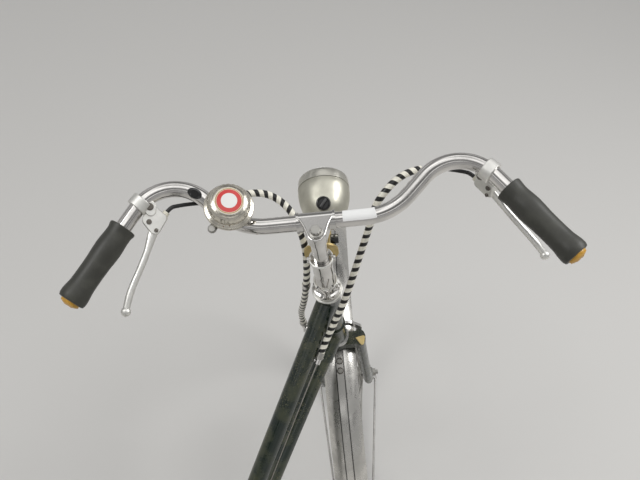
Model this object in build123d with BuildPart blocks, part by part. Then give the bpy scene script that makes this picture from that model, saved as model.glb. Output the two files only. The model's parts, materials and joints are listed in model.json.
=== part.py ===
"""Step-through roadster bicycle, parked on its centre stand with the steering turned to the left.

Millimetres, +X forward, +Y to the rider's left, +Z up. The layout is drawn from a point on the floor in
the frame's middle plane. At the end every piece is moved by one step that brings the origin below the
middle of the box round the whole bicycle.
"""

from build123d import *
import math
import os

os.makedirs("parts", exist_ok=True)

# driving sizes
fit_gap = 0.3  # a piece lies this far from the curved seat that carries it

# wheels
tyre_radius = 325.0
tyre_section = 36.0
rim_width = 29.0
rim_depth = 13.0
rim_wall = 1.6
spoke_count = 36
spoke_thickness = 2.2
flange_radius = 20.0
flange_thickness = 3.0
hub_barrel_radius = 12.0
front_flange_spread = 60.0
rear_flange_spread = 58.0
axle_thickness = 9.5
axle_play = 0.05
spoke_offset = 2.2
front_axle_gap = 96.0  # between the fork's tips
rear_axle_gap = 116.0  # between the rear dropouts
front_axle_reach = 68.0
rear_axle_reach = 82.0

# layout
bottom_bracket_x = -72.0
wheel_lift = 9.0  # the stand holds the rear tyre this far off the floor
bottom_bracket_drop = 49.0
chain_stay_length = 450.0
head_angle = 69.0
seat_angle = 70.0
head_reach = 331.0  # bottom bracket to the steering axis, level, at the handlebar's height
parked_turn = 30.4  # the steering stands turned to the left
bar_above_head = 163.5
head_length = 188.7
fork_over_tyre = 52.6  # front axle to the head's lower end, less the tyre's radius
fork_rake = 59.8

# frame tubes
head_tube_radius = 16.5
head_tube_bore = 14.6
cup_height = 7.0
lug_wall = 2.2
upper_tube_radius = 14.3
lower_tube_radius = 14.3
upper_tube_below_head = 26.7
lower_tube_below_head = 160.2
upper_tube_slope = 48.3
seat_tube_radius = 14.3
seat_tube_length = 500.0
seat_post_radius = 12.7
seat_post_bore = 12.8
dropout_slot_radius = 5.0
shell_radius = 20.5
shell_width = 68.0
shell_bore = 17.0
chain_stay_radius = 9.5
seat_stay_radius = 6.5
stay_end_radius = 6.0
bridge_radius = 6.0
dropout_thickness = 6.0

# steering
bar_radius = 11.1
bar_forward = 24.0
bar_bend_out = 101.7
bar_corner = (108.4, 198.1, 39.5)
bar_end = (-59.4, 320.5, 8.3)
bar_bends = (87.0, 60.9)
sleeve_half = 26.0
sleeve_radius = 13.2
quill_radius = 11.1
quill_depth = 150.0
stem_bolt_radius = 7.5
grip_play = 0.3
lever_from_end = 148.3
lever_reach = 80.0
lever_slot = 8.4
lever_roll = {"left": 62.0, "right": 4.0}
bell_from_end = 284.0
bell_forward = 3.0
bell_base_height = 21.0
bell_radius = 33.0
bell_body_radius = 28.8
bell_lever_place = (-28.0, 19.0)
lug_bottom = -7.0
lug_top = 13.5
stem_bolt_height = 7.5
lamp_place = (121.0, -9.5, -73.0)
lamp_radius = 38.5
lamp_rim_radius = 37.8
lamp_shell_profile = (
    (0, -68), (14, -63), (23, -55), (30.5, -43), (33.8, -35), (37.5, -20), (lamp_radius, -9), (37.3, 0),
    (0, 0),
)
lamp_foot_back = 15.0
lamp_plate_corner = 20.0
knob_place = (30.5, -43.0)
knob_radius = 10.0
lamp_plate_level = -74.5
lamp_plate_width = 49.0
lamp_plate_height = 47.0
lamp_arm_level = -92.0
caliper_half = 34.0
pad_gap = 3.0
upper_ring_radius = 22.7
lower_ring_radius = 21.6
steerer_radius = 12.7
blade_sections = (
    # share of the blade's length, half depth, half width
    (0, 13.5, 9.2), (0.5, 12.0, 9.0), (0.85, 9.0, 8.2), (1, 8.0, 7.6),
)
fork_slot_radius = 4.9
crown_front = 17.0
blade_bend = 200.0
stay_bend = 160.0
caliper_arm = 6.0
eyelet_radius = 2.6
front_eyelet = (-17, 11)  # ahead and up from the axle
rear_eyelet = (2, 22)

# mudguards
guard_clear = 19.0  # from the tread to the mudguard's outside
guard_width = 59.2
guard_wall = 1.2
guard_band = 13.0
guard_drop = 13.0
guard_rise = 1.0
front_guard_start = 30.0
front_guard_stop = 172.0
rear_guard_start = 2.0
rear_guard_stop = 197.0
stay_wire = 2.3

# drive
chain_line = 46.5
chain_pitch = 12.7
ring_teeth = 44
sprocket_teeth = 18
crank_length = 170.0
crank_turn = -32.0  # the right crank points forward and this far from level
crank_axle_radius = 8.0
crank_boss_radius = 17.0
crank_boss_in = 62.0
crank_boss_out = 80.0
tooth_thickness = 2.2
tooth_above = 2.2
roller_radius = 4.0
chain_width = 8.0
chain_height = 8.6
freewheel_bore = 15.0
spindle_radius = 5.0
pedal_width = 92.0
pedal_length = 78.0
pedal_gap = 9.0
pedal_plate = 3.5
cover_wall = 1.2
cover_clear = 17.0
cover_gap = 5.0
cover_inside = 7.0
tab_share = 0.7
tab_top = 76.0
tab_width = 16.0
cup_depth = 12.0
cup_rim = 3.0
cup_play = 1.2
crank_eye_radius = 12.5
crank_arm_thickness = 12.0
pedal_core_radius = 10.5
pedal_bearing_radius = 7.5
rubber_width = 23.0
rubber_height = 26.0
freewheel_radius = 27.0

# saddle, stand, reflector and cables
post_length = 55.0
post_depth = 110.0
saddle_set = -16.0
spring_height = 56.0
saddle_thickness = 36.0
saddle_round = 16.0
saddle_back = 88.0  # from the saddle's origin back to its rear corners' centres
saddle_nose = 111.0
saddle_half = 52.0
saddle_corner = 45.0
saddle_waist = 42.0
saddle_body = 52.0
saddle_tip = 26.0
spring_back = 96.0
spring_spread = 62.0
spring_radius = 15.0
rail_radius = 3.6
seat_clamp_half = 29.0
seat_clamp_radius = 11.0
stand_half_width = 72.0
stand_forward = 20.0
stand_pin_radius = 4.0
stand_share = 0.545  # the pivot's place on the way from the bottom bracket shell to the tyre
stand_drop = 25.5744  # the pivot hangs this far below the chain stays' middle
stand_plate_length = 44.0
stand_plate_width = 66.0
stand_plate_thickness = 3.0
stand_ear_gap = 16.0
stand_ear_thickness = 4.0
stand_leg_radius = 5.5
stand_foot_radius = 12.0
stand_foot_height = 8.0
stand_knee_out = 37.0
reflector_radius = 22.0
reflector_angle = 186.0
cable_radius = 3.8
wire_radius = 0.8

# layout worked out


def direction(angle):
    """A unit vector in the middle plane, at an angle above straight ahead."""
    return Vector(math.cos(math.radians(angle)), 0, math.sin(math.radians(angle)))


def part_way(a, b, share):
    """The point at a share of the way from a to b."""
    return Vector(*a) + (Vector(*b) - Vector(*a)) * share


def spot(home, x, y, z):
    """A point given in the directions of a plane."""
    return home.from_local_coords(Vector(x, y, z))


def turned(home, origin, z_dir, x_dir=None):
    """A plane whose origin and directions are given in the directions of another one."""
    base = spot(home, 0, 0, 0)
    facing = spot(home, *z_dir) - base
    across = None if x_dir is None else spot(home, *x_dir) - base
    return Plane(origin=spot(home, *origin), x_dir=across, z_dir=facing)


turn = math.radians(parked_turn)
head = math.radians(head_angle)
core_radius = tyre_radius - tyre_section / 2
guard_radius = tyre_radius + guard_clear
wheel_tilt = math.asin(math.sin(turn) * math.cos(head))
front_axle_height = core_radius * math.cos(wheel_tilt) + tyre_section / 2
fork_length = tyre_radius + fork_over_tyre
steering_drop = bar_above_head + head_length + fork_length
bar_height = (
    front_axle_height
    + steering_drop * math.sin(head)
    - fork_rake * math.cos(turn) * math.cos(head)
)
bar_x = bottom_bracket_x + head_reach
bar_centre = Vector(bar_x, 0, bar_height)

# The steering axis is each plane's Z, X points forward and Y to the left.
ahead = Plane(origin=bar_centre, x_dir=direction(90 - head_angle), z_dir=direction(180 - head_angle))
steering_way = Axis((0, 0, 0), ahead.z_dir)
steer = Plane(
    origin=bar_centre, x_dir=ahead.x_dir.rotate(steering_way, parked_turn), z_dir=ahead.z_dir
)

rear_axle_height = tyre_radius + wheel_lift
bottom_bracket_height = rear_axle_height - bottom_bracket_drop
stay_run = math.sqrt(chain_stay_length**2 - bottom_bracket_drop**2)
bottom_bracket = Vector(bottom_bracket_x, 0, bottom_bracket_height)
rear_axle = Vector(bottom_bracket_x - stay_run, 0, rear_axle_height)
seat_way = direction(180 - seat_angle)
seat_top = bottom_bracket + seat_way * seat_tube_length
head_top = spot(ahead, 0, 0, -bar_above_head - cup_height)
head_bottom = spot(ahead, 0, 0, -bar_above_head - head_length + cup_height)
upper_joint = spot(ahead, 0, 0, -bar_above_head - upper_tube_below_head)
lower_joint = spot(ahead, 0, 0, -bar_above_head - lower_tube_below_head)

# The upper tube runs down to the seat tube's axis.
fall = math.tan(math.radians(upper_tube_slope))
lean = math.tan(math.radians(90 - seat_angle))
meet_height = (
    upper_joint.Z - fall * (upper_joint.X - bottom_bracket_x) - bottom_bracket_height
) / (1 + fall * lean)
upper_meet = bottom_bracket + Vector(-meet_height * lean, 0, meet_height)

# The handlebar runs level through the stem, out and up, then back to the grips.
bar_route = (
    bar_end,
    bar_corner,
    (bar_forward, bar_bend_out, 0),
    (bar_forward, -bar_bend_out, 0),
    (bar_corner[0], -bar_corner[1], bar_corner[2]),
    (bar_end[0], -bar_end[1], bar_end[2]),
)
bar_arcs = (bar_bends[1], bar_bends[0], bar_bends[0], bar_bends[1])
with BuildLine() as bar_drawing:
    FilletPolyline(*bar_route, radius=bar_arcs)
bar_line = bar_drawing.wires()[0]


def bar_plane(side, along=0.0):
    """The plane across the bar at a distance from its end: Z runs towards the bend, X points down."""
    place = bar_line.position_at(along, PositionMode.LENGTH)
    way = bar_line.tangent_at(along, PositionMode.LENGTH)
    way = Vector(way.X, side * way.Y, way.Z)
    down = Vector(0, 0, -1) - way * Vector(0, 0, -1).dot(way)
    return turned(steer, (place.X, side * place.Y, place.Z), tuple(way), tuple(down.normalized()))


# On a wheel's plane X points forward, Y up and Z to the right along the axle.
front_wheel_plane = turned(steer, (fork_rake, 0, -steering_drop), (0, -1, 0), (1, 0, 0))
rear_wheel_plane = Plane(origin=rear_axle, x_dir=(1, 0, 0), z_dir=(0, -1, 0))
crank_plane = Plane(origin=bottom_bracket, x_dir=(1, 0, 0), z_dir=(0, -1, 0))

# shared shapes
sides = {"left": 1, "right": -1}
pieces = []


def bar(a, b, radius, end_radius=None, home=Plane.XY, mode=Mode.ADD):
    """Add a straight round bar from a to b, tapered if it has an end radius."""
    start, stop = spot(home, *a), spot(home, *b)
    run = stop - start
    low = (Align.CENTER, Align.CENTER, Align.MIN)
    with Locations(Plane(origin=start, z_dir=run)):
        if end_radius is None or end_radius == radius:
            Cylinder(radius, run.length, align=low, mode=mode)
        else:
            Cone(radius, end_radius, run.length, align=low, mode=mode)


def bent_bar(points, bends, radius, home=Plane.XY, mode=Mode.ADD):
    """Add a round bar along straight runs joined by arcs."""
    with BuildLine(home) as route:
        FilletPolyline(*points, radius=bends)
    with BuildSketch(Plane(origin=route.line @ 0, z_dir=route.line % 0)) as section:
        Circle(radius)
    sweep(section.sketch, path=route.line, mode=mode)


def ring(corners, home, mode=Mode.ADD):
    """Add a turned solid about the plane's Z from a row of (radius, height) corners."""
    with BuildSketch(turned(home, (0, 0, 0), (0, -1, 0), (1, 0, 0))) as section:
        with BuildLine():
            Polyline(*corners, close=True)
        make_face()
    revolve(section.sketch, axis=Axis(home.origin, home.z_dir), mode=mode)


def side_plane(place, y):
    """A plane seen from the right, at a height y to the left, whose X is forward and Y up."""
    return Plane(origin=(place.X, y, place.Z), x_dir=(1, 0, 0), z_dir=(0, -1, 0))


def store(piece, label):
    """Name a finished piece and keep it to be moved and written with the others."""
    piece.part.label = label
    pieces.append(piece.part)


# frame
tube_runs = (
    # from, to, radius, sleeve length at the start
    (upper_joint, upper_meet, upper_tube_radius, 52),
    (lower_joint, bottom_bracket, lower_tube_radius, 54),
)
with BuildPart() as frame:
    bar(head_bottom, head_top, head_tube_radius)
    for end, way in ((head_top, -1), (head_bottom, 1)):
        bar(end, end + ahead.z_dir * way * 52, head_tube_radius + lug_wall)
    for start, stop, radius, sleeve in tube_runs:
        way = (stop - start).normalized()
        bar(start, stop, radius)
        bar(start, start + way * sleeve, radius + lug_wall)
    bar(bottom_bracket, seat_top, seat_tube_radius)
    bar(seat_top - seat_way * 46, seat_top, seat_tube_radius + lug_wall)
    bar(bottom_bracket, part_way(bottom_bracket, lower_joint, 0.09), lower_tube_radius + lug_wall)
    half_shell = Vector(0, shell_width / 2, 0)
    bar(bottom_bracket - half_shell, bottom_bracket + half_shell, shell_radius)
    bar(bottom_bracket - half_shell * 2, bottom_bracket + half_shell * 2, shell_bore, mode=Mode.SUBTRACT)
    past_head = ahead.z_dir * 20
    bar(head_bottom - past_head, head_top + past_head, head_tube_bore, mode=Mode.SUBTRACT)
    bar(head_bottom - past_head, head_bottom, 2 * head_tube_radius, mode=Mode.SUBTRACT)
    bar(head_top, head_top + past_head, 2 * head_tube_radius, mode=Mode.SUBTRACT)
    bar(seat_top - seat_way * (post_depth + 50), seat_top + seat_way * 5, seat_post_bore,
        mode=Mode.SUBTRACT)
store(frame, "frame")

# rear stays with their dropouts and bridges
dropout_y = rear_axle_gap / 2 + dropout_thickness / 2
stay_clear = guard_width / 2 + 4
dropout_outline = (
    # x, z from the rear axle
    (-17, 12), (-4, 34), (18, 38), (30, 14), (44, 2), (42, -14), (20, -16), (-17, -12),
)
stay_start = bottom_bracket + Vector(3 - shell_radius, 24, 1)
stay_stop = rear_axle + Vector(34, dropout_y, -5)
with BuildPart() as rear_stays:
    for side in (-1, 1):
        knee = part_way(seat_top, rear_axle, 0.2)
        bent_bar(
            (
                seat_top - seat_way * 16 + Vector(0, side * (seat_tube_radius + lug_wall), 0),
                Vector(knee.X, side * (stay_clear + seat_stay_radius), knee.Z),
                rear_axle + Vector(12, side * dropout_y, 30),
            ),
            stay_bend,
            seat_stay_radius,
        )
        bar(
            (stay_start.X, side * stay_start.Y, stay_start.Z), (stay_stop.X, side * stay_stop.Y, stay_stop.Z),
            chain_stay_radius, stay_end_radius,
        )
        high_side = dropout_y * side + dropout_thickness / 2
        with BuildSketch(side_plane(rear_axle, high_side)):
            with BuildLine():
                Polyline(*dropout_outline, close=True)
            make_face()
            with Locations((12, 0)):
                SlotOverall(34, 2 * dropout_slot_radius, mode=Mode.SUBTRACT)
            with Locations(rear_eyelet):
                Circle(eyelet_radius, mode=Mode.SUBTRACT)
        extrude(amount=dropout_thickness)
    stay_fall = (seat_top - rear_axle).length
    bridge = part_way(seat_top, rear_axle, 1 - (guard_radius + 10) / stay_fall)
    for middle, half in (
        (bridge, stay_clear + 5),
        (part_way(bottom_bracket, rear_axle + Vector(34, 0, -5), 0.16), 30),
    ):
        across = Vector(0, half, 0)
        bar(middle - across, middle + across, bridge_radius)
    bar(bottom_bracket, seat_top + seat_way * 5, seat_tube_radius + lug_wall + 0.01, mode=Mode.SUBTRACT)
    bar(bottom_bracket - half_shell * 2, bottom_bracket + half_shell * 2, shell_radius, mode=Mode.SUBTRACT)
store(rear_stays, "rear_stays")

# headset
ring_levels = {"upper": -bar_above_head, "lower": -bar_above_head - head_length}
with BuildPart() as headset_cups:
    for name, way, radius in (("upper", 1, upper_ring_radius), ("lower", -1, lower_ring_radius)):
        level = ring_levels[name]
        seat = level - way * cup_height
        ring(
            (
                (steerer_radius + 1, level + way * 1), (radius - 4, level + way * 1),
                (radius, level - way * 1.5), (radius, level - way * 4), (radius - 3, seat),
                (head_tube_bore, seat), (head_tube_bore, seat - way * 8),
                (steerer_radius + 1, seat - way * 8),
            ),
            ahead,
        )
store(headset_cups, "headset_cups")

# the lock ring, the sleeve of the clamp and its collar stack on the steerer above the upper cup
with BuildPart() as headset_stack:
    top = ring_levels["upper"] + 1 + fit_gap
    ring(
        (
            (quill_radius + fit_gap, -70), (14.5, -70), (14.5, -128), (16, -131), (16, -134), (17.5, -135),
            (17.5, -147), (20.5, -148), (20.5, top), (quill_radius + fit_gap, top),
        ),
        steer,
    )
    with BuildSketch(turned(steer, (0, 0, -146), (0, 0, 1), (1, 0, 0))):
        RegularPolygon(19.5, 6)
        Circle(16, mode=Mode.SUBTRACT)
    extrude(amount=10)
    ring(((quill_radius + fit_gap, -58), (16, -58), (16, -70), (quill_radius + fit_gap, -70)), steer)
    for side in (-1, 1):
        bar((0, side * 14, -62), (0, side * 20, -62), 5, home=steer)
store(headset_stack, "headset_stack")

# fork: steerer, crown, raked blades and slotted tips
crown_top = ring_levels["lower"] - 1 - fit_gap
crown_low = crown_top - 30
axle_level = -steering_drop
tip_half = front_axle_gap / 2
tip_thickness = 5.0
blade_spread = guard_width / 2 + 0.8 + blade_sections[0][2]
with BuildPart() as fork:
    bar((0, 0, crown_low + 4), (0, 0, ring_levels["upper"] - 4), steerer_radius, home=steer)
    ring(
        (
            (0, crown_top), (lower_ring_radius - 2, crown_top), (lower_ring_radius - 1, crown_top - 4),
            (17, crown_top - 6), (17, crown_low + 6), (0, crown_low + 6),
        ),
        steer,
    )
    with BuildSketch(turned(steer, (0, 0, crown_low), (0, 0, 1), (1, 0, 0))):
        with Locations((0, -blade_spread), (0, blade_spread)):
            Ellipse(blade_sections[0][1] + 1.2, blade_sections[0][2] + 1.2)
        Rectangle(24, 2 * blade_spread)
    extrude(amount=18)
    for side in (-1, 1):
        with BuildLine(steer) as route:
            FilletPolyline(
                (0, side * blade_spread, crown_low + 4),
                (3, side * (blade_spread + 7), axle_level + 95),
                (fork_rake - 5, side * (tip_half + tip_thickness / 2), axle_level + 24),
                radius=blade_bend,
            )
        blade = route.wires()[0]
        sections = []
        for share, deep, wide in blade_sections:
            with BuildSketch(
                Plane(origin=blade @ share, x_dir=steer.x_dir, z_dir=blade % share)
            ) as section:
                Ellipse(deep, wide)
            sections.append(section.sketch)
        sweep(sections, path=blade, multisection=True)
        with BuildSketch(
            turned(steer, (fork_rake, side * tip_half + (side - 1) * tip_thickness / 2 + tip_thickness,
                           axle_level), (0, -1, 0), (1, 0, 0))
        ):
            with BuildLine():
                Polyline(
                    (-18, 34), (2, 30), (12, 16), (12, -12), (6, -15), (-6, -15), (-13, -6), (-14, 14),
                    close=True,
                )
            make_face()
            with Locations((0, -9)):
                SlotOverall(30, 2 * fork_slot_radius, rotation=90, mode=Mode.SUBTRACT)
            with Locations(front_eyelet):
                Circle(5.5)
                Circle(eyelet_radius, mode=Mode.SUBTRACT)
        extrude(amount=tip_thickness)
store(fork, "fork")

# wheels


def wheel_section(home, angle):
    """A sketch plane across the wheel's rim: X points out along the spoke, Y to the right."""
    way = (math.cos(math.radians(angle)), math.sin(math.radians(angle)), 0)
    cross = (math.sin(math.radians(angle)), -math.cos(math.radians(angle)), 0)
    return turned(home, (0, 0, 0), cross, way)


def tyre(home):
    """Add a tyre that sits on its rim's edges."""
    with BuildSketch(wheel_section(home, 0)) as section:
        with Locations((core_radius, 0)):
            Circle(tyre_section / 2)
        with Locations((rim_radius - 30, 0)):
            Rectangle(60, 80, mode=Mode.SUBTRACT)
    revolve(section.sketch, axis=Axis(home.origin, home.z_dir))


def rim(home):
    """Add a steel rim with rolled edges and a sunk middle."""
    half = rim_width / 2
    low = rim_radius - rim_depth
    corners = (
        (rim_radius - fit_gap, half), (low + 5, half - 1), (low, 6), (low, -6), (low + 5, 1 - half),
        (rim_radius - fit_gap, -half), (rim_radius - fit_gap, rim_wall - half),
        (low + 7, rim_wall + 1 - half), (low + rim_wall, rim_wall - 6), (low + rim_wall, 6 - rim_wall),
        (low + 7, half - 1 - rim_wall), (rim_radius - fit_gap, half - rim_wall),
    )
    ring(corners, home)


def hub(home, spread, end_half, seat=None):
    """Add a hub with its flanges, crossed spokes and, where given, a sprocket's seat on the right."""
    inner = axle_thickness / 2 + axle_play
    flange = spread / 2 + flange_thickness / 2
    ring(
        (
            (inner, -end_half), (11, -end_half), (13, -flange - 3), (flange_radius, -flange),
            (flange_radius, flange_thickness - flange), (hub_barrel_radius + 3, flange_thickness - flange),
            (hub_barrel_radius, 8 - flange), (hub_barrel_radius, flange - 8),
            (hub_barrel_radius + 3, flange - flange_thickness), (flange_radius, flange - flange_thickness),
            (flange_radius, flange), (13, flange + 3), (11, end_half), (inner, end_half),
        ),
        home,
    )
    if seat:
        ring(((inner, spread / 2), (seat, spread / 2), (seat, end_half), (inner, end_half)), home)
    places = []
    for count in range(spoke_count):
        side = 1 if count % 2 else -1
        lead = 1 if count % 4 < 2 else -1
        at_rim = math.radians(360 / spoke_count * count)
        at_hub = at_rim + lead * math.radians(3 * 720 / spoke_count)
        start = Vector(
            hole_circle * math.cos(at_hub),
            hole_circle * math.sin(at_hub),
            side * (spread / 2 + lead * spoke_offset),
        )
        stop = Vector(spoke_end * math.cos(at_rim), spoke_end * math.sin(at_rim), side * 2.5)
        a, b = spot(home, *start), spot(home, *stop)
        places.append(Plane(origin=a, z_dir=b - a))
        length = (b - a).length
    with Locations(*places):
        Cylinder(spoke_thickness / 2, length, align=(Align.CENTER, Align.CENTER, Align.MIN))


rim_radius = core_radius - math.sqrt((tyre_section / 2) ** 2 - (rim_width / 2) ** 2)
spoke_end = rim_radius - rim_depth - fit_gap
hole_circle = flange_radius - 3

with BuildPart() as front_tyre:
    tyre(front_wheel_plane)
store(front_tyre, "front_tyre")
with BuildPart() as front_rim:
    rim(front_wheel_plane)
store(front_rim, "front_rim")
with BuildPart() as front_hub:
    hub(front_wheel_plane, front_flange_spread, front_axle_gap / 2 - 9)
store(front_hub, "front_hub")
with BuildPart() as rear_tyre:
    tyre(rear_wheel_plane)
store(rear_tyre, "rear_tyre")
with BuildPart() as rear_rim:
    rim(rear_wheel_plane)
store(rear_rim, "rear_rim")
with BuildPart() as rear_hub:
    hub(rear_wheel_plane, rear_flange_spread, rear_axle_gap / 2 - 9, freewheel_bore - axle_play)
store(rear_hub, "rear_hub")

# axles with their nuts


def axle(home, gap, carrier, reach):
    """Add an axle with its cones inside the carrier's ends and its nuts outside."""
    radius = axle_thickness / 2
    nut_face = gap / 2 + carrier + fit_gap
    bar((0, 0, -reach), (0, 0, reach), radius, home=home)
    for side in (-1, 1):
        bar((0, 0, side * (gap / 2 - 8)), (0, 0, side * (gap / 2 - fit_gap)), 8.5, home=home)
        bar((0, 0, side * nut_face), (0, 0, side * (nut_face + 1.6)), 10.5, home=home)
        with BuildSketch(turned(home, (0, 0, side * (nut_face + 1.6)), (0, 0, side), (1, 0, 0))) as nut:
            RegularPolygon(8.6, 6)
        extrude(nut.sketch, amount=8)


with BuildPart() as front_axle:
    axle(front_wheel_plane, front_axle_gap, tip_thickness, front_axle_reach)
store(front_axle, "front_axle")
with BuildPart() as rear_axle_rod:
    axle(rear_wheel_plane, rear_axle_gap, dropout_thickness, rear_axle_reach)
store(rear_axle_rod, "rear_axle")

# mudguards with their stays


def guard(home, start, stop):
    """Add a rolled mudguard with a raised band, from one wheel angle to the other."""
    half = guard_width / 2
    with BuildSketch(wheel_section(home, start)) as section:
        with BuildLine():
            ThreePointArc(
                (guard_radius - guard_drop, -half), (guard_radius, 0), (guard_radius - guard_drop, half)
            )
            Line((guard_radius - guard_drop, half), (guard_radius - guard_drop, half - guard_wall))
            ThreePointArc(
                (guard_radius - guard_drop, half - guard_wall),
                (guard_radius - guard_wall, 0),
                (guard_radius - guard_drop, guard_wall - half),
            )
            Line((guard_radius - guard_drop, guard_wall - half), (guard_radius - guard_drop, -half))
        make_face()
        with BuildLine():
            Polyline(
                (guard_radius - guard_wall, -guard_band / 2), (guard_radius + guard_rise, -guard_band / 2),
                (guard_radius + guard_rise, guard_band / 2), (guard_radius - guard_wall, guard_band / 2),
                close=True,
            )
        make_face()
    revolve(section.sketch, axis=Axis(home.origin, home.z_dir), revolution_arc=stop - start)


def guard_stays(home, angles, anchor, face):
    """Add the wire stays from the eyelets in the carrier's outer face to the mudguard's edges."""
    spread = face + 8
    for side in (-1, 1):
        bar((*anchor, side * (face - 3)), (*anchor, side * (spread + 3)), eyelet_radius - 0.1, home=home)
        for angle in angles:
            out = math.radians(angle)
            edge = guard_radius - guard_drop + 4
            end = (edge * math.cos(out), edge * math.sin(out), side * (guard_width / 2 + stay_wire + fit_gap))
            bar((*anchor, side * spread), end, stay_wire, home=home)


with BuildPart() as front_mudguard:
    guard(front_wheel_plane, front_guard_start, front_guard_stop)
store(front_mudguard, "front_mudguard")
with BuildPart() as rear_mudguard:
    guard(rear_wheel_plane, rear_guard_start, rear_guard_stop)
store(rear_mudguard, "rear_mudguard")

# handlebar
with BuildPart() as handlebar:
    bent_bar(bar_route, bar_arcs, bar_radius, home=steer)
store(handlebar, "handlebar")

# stem: quill, three-sided head and the sleeve that holds the bar
with BuildPart() as stem:
    bar((0, 0, -quill_depth), (0, 0, 2), quill_radius, home=steer)
    bar((bar_forward, -sleeve_half, 0), (bar_forward, sleeve_half, 0), sleeve_radius, home=steer)
    for side in (-1, 1):
        bar(
            (bar_forward, side * (sleeve_half - 3), 0), (bar_forward, side * sleeve_half, 0),
            sleeve_radius + 1.2, home=steer,
        )
    with BuildSketch(turned(steer, (0, 0, lug_bottom), (0, 0, 1), (1, 0, 0))):
        Circle(quill_radius + 2.5)
        with BuildLine():
            Polyline(
                (-2, quill_radius + 2.3), (bar_forward, sleeve_half - 4), (bar_forward, 4 - sleeve_half),
                (-2, -quill_radius - 2.3), close=True,
            )
        make_face()
    extrude(amount=lug_top - lug_bottom)
    bar((bar_forward, -sleeve_half - 5, 0), (bar_forward, sleeve_half + 5, 0), bar_radius,
        home=steer, mode=Mode.SUBTRACT)
    with BuildSketch(turned(steer, (0, 0, lug_top), (0, 0, 1), (1, 0, 0))):
        RegularPolygon(stem_bolt_radius, 6)
    extrude(amount=stem_bolt_height)
store(stem, "stem")

# grips and their end plugs
grip_profile = (
    # radius, distance from the bar's end
    (15.2, 1), (16.6, 4), (16.6, 10), (15.4, 18), (16.2, 50), (15.6, 80), (14.4, 98), (16.2, 110),
    (17.2, 116), (16.4, 118),
)
for name, side in sides.items():
    with BuildPart() as grip:
        ring(
            ((bar_radius + grip_play, 1), *grip_profile, (bar_radius + grip_play, 118)),
            bar_plane(side),
        )
    store(grip, f"grip_{name}")
with BuildPart() as grip_plugs:
    for side in sides.values():
        ring(
            ((0, -grip_play), (12, -grip_play), (12, 0.7), (14.6, 0.7), (14.6, -5), (12.5, -7.5), (0, -8.5)),
            bar_plane(side),
        )
store(grip_plugs, "grip_plugs")

# brake levers: on each lever's plane X points away from the bar and Y along it to the grip's end
for name, side in sides.items():
    clamp_plane = bar_plane(side, lever_from_end)
    roll = math.radians(lever_roll[name])
    down, across = math.cos(roll), -side * math.sin(roll)
    lever_plane = turned(clamp_plane, (0, 0, 0), (-across, down, 0), (down, across, 0))
    with BuildPart() as clamp:
        bar((0, 0, -8), (0, 0, 8), bar_radius + 3, home=clamp_plane)
        with BuildSketch(turned(lever_plane, (0, 0, -7), (0, 0, 1), (1, 0, 0))):
            with BuildLine():
                Polyline((8, 9), (20, 10), (32, 5), (32, -6), (22, -14), (8, -9), close=True)
            make_face()
        extrude(amount=14)
        with BuildSketch(turned(lever_plane, (0, 0, -lever_slot / 2), (0, 0, 1), (1, 0, 0))):
            with Locations((34, 6)):
                Rectangle(28, 26)
        extrude(amount=lever_slot, mode=Mode.SUBTRACT)
        barrel_foot, barrel_end = Vector(24, -12, 0), Vector(35, -27, 0)
        bar(tuple(barrel_foot), tuple(part_way(barrel_foot, barrel_end, 0.7)), 4.6, home=lever_plane)
        bar(tuple(barrel_foot), tuple(barrel_end), 3.6, home=lever_plane)
        bent_bar(bar_route, bar_arcs, bar_radius + grip_play, home=steer, mode=Mode.SUBTRACT)
    store(clamp, f"lever_clamp_{name}")
    with BuildPart() as blade:
        with BuildLine(lever_plane) as route:
            FilletPolyline((27, 0, 0), (36, 18, 0), (60, 78, 0), (lever_reach, 120, 0), radius=(20, 60))
        line = route.wires()[0]
        sections = []
        for share, wide, thick in ((0, 3.4, 3.2), (0.2, 5.6, 2.8), (0.7, 5.0, 2.4), (1, 3.2, 2.2)):
            with BuildSketch(
                Plane(origin=line @ share, x_dir=lever_plane.z_dir, z_dir=line % share)
            ) as section:
                Ellipse(wide, thick)
            sections.append(section.sketch)
        sweep(sections, path=line, multisection=True)
        with Locations(turned(lever_plane, (lever_reach + 1, 122, 0), (0, 0, 1))):
            Sphere(6.4)
        bar((27, 0, -lever_slot / 2 + 0.4), (27, 0, lever_slot / 2 - 0.4), 6.6, home=lever_plane)
    store(blade, f"lever_{name}")

# bell: clamp on the left bend, base plate, stepped dome and thumb lever
bell_home = bar_plane(1, bell_from_end)
bell_plane = turned(bell_home, (0, bell_forward, 0), (-1, 0, 0), (0, 1, 0))
with BuildPart() as bell_base:
    bar((0, 0, -7), (0, 0, 7), bar_radius + 2.4, home=bell_home)
    bar((0, 0, bar_radius), (0, 0, bell_base_height), 9, home=bell_plane)
    ring(
        ((0, bell_base_height), (bell_radius - 3, bell_base_height),
         (bell_radius - 3, bell_base_height + 5), (0, bell_base_height + 5)),
        bell_plane,
    )
    bar((0, 0, bell_base_height - 1), (*bell_lever_place, bell_base_height - 1), 2.6, home=bell_plane)
    bar((*bell_lever_place, bell_base_height - 2.6), (*bell_lever_place, bell_base_height + 3), 6,
        home=bell_plane)
    bent_bar(bar_route, bar_arcs, bar_radius + grip_play, home=steer, mode=Mode.SUBTRACT)
store(bell_base, "bell_base")
with BuildPart() as bell_dome:
    low = bell_base_height + 5 + fit_gap
    ring(
        (
            (0, low), (bell_radius, low), (bell_radius, low + 3.5), (bell_radius - 2, low + 5),
            (bell_body_radius - 1.2, low + 5.4), (bell_body_radius - 1.2, low + 8),
            (bell_body_radius, low + 9), (bell_body_radius, low + 12), (bell_body_radius - 2.3, low + 16),
            (bell_body_radius - 9, low + 20), (bell_body_radius - 19, low + 22.5), (0, low + 23),
        ),
        bell_plane,
    )
store(bell_dome, "bell_dome")

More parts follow.
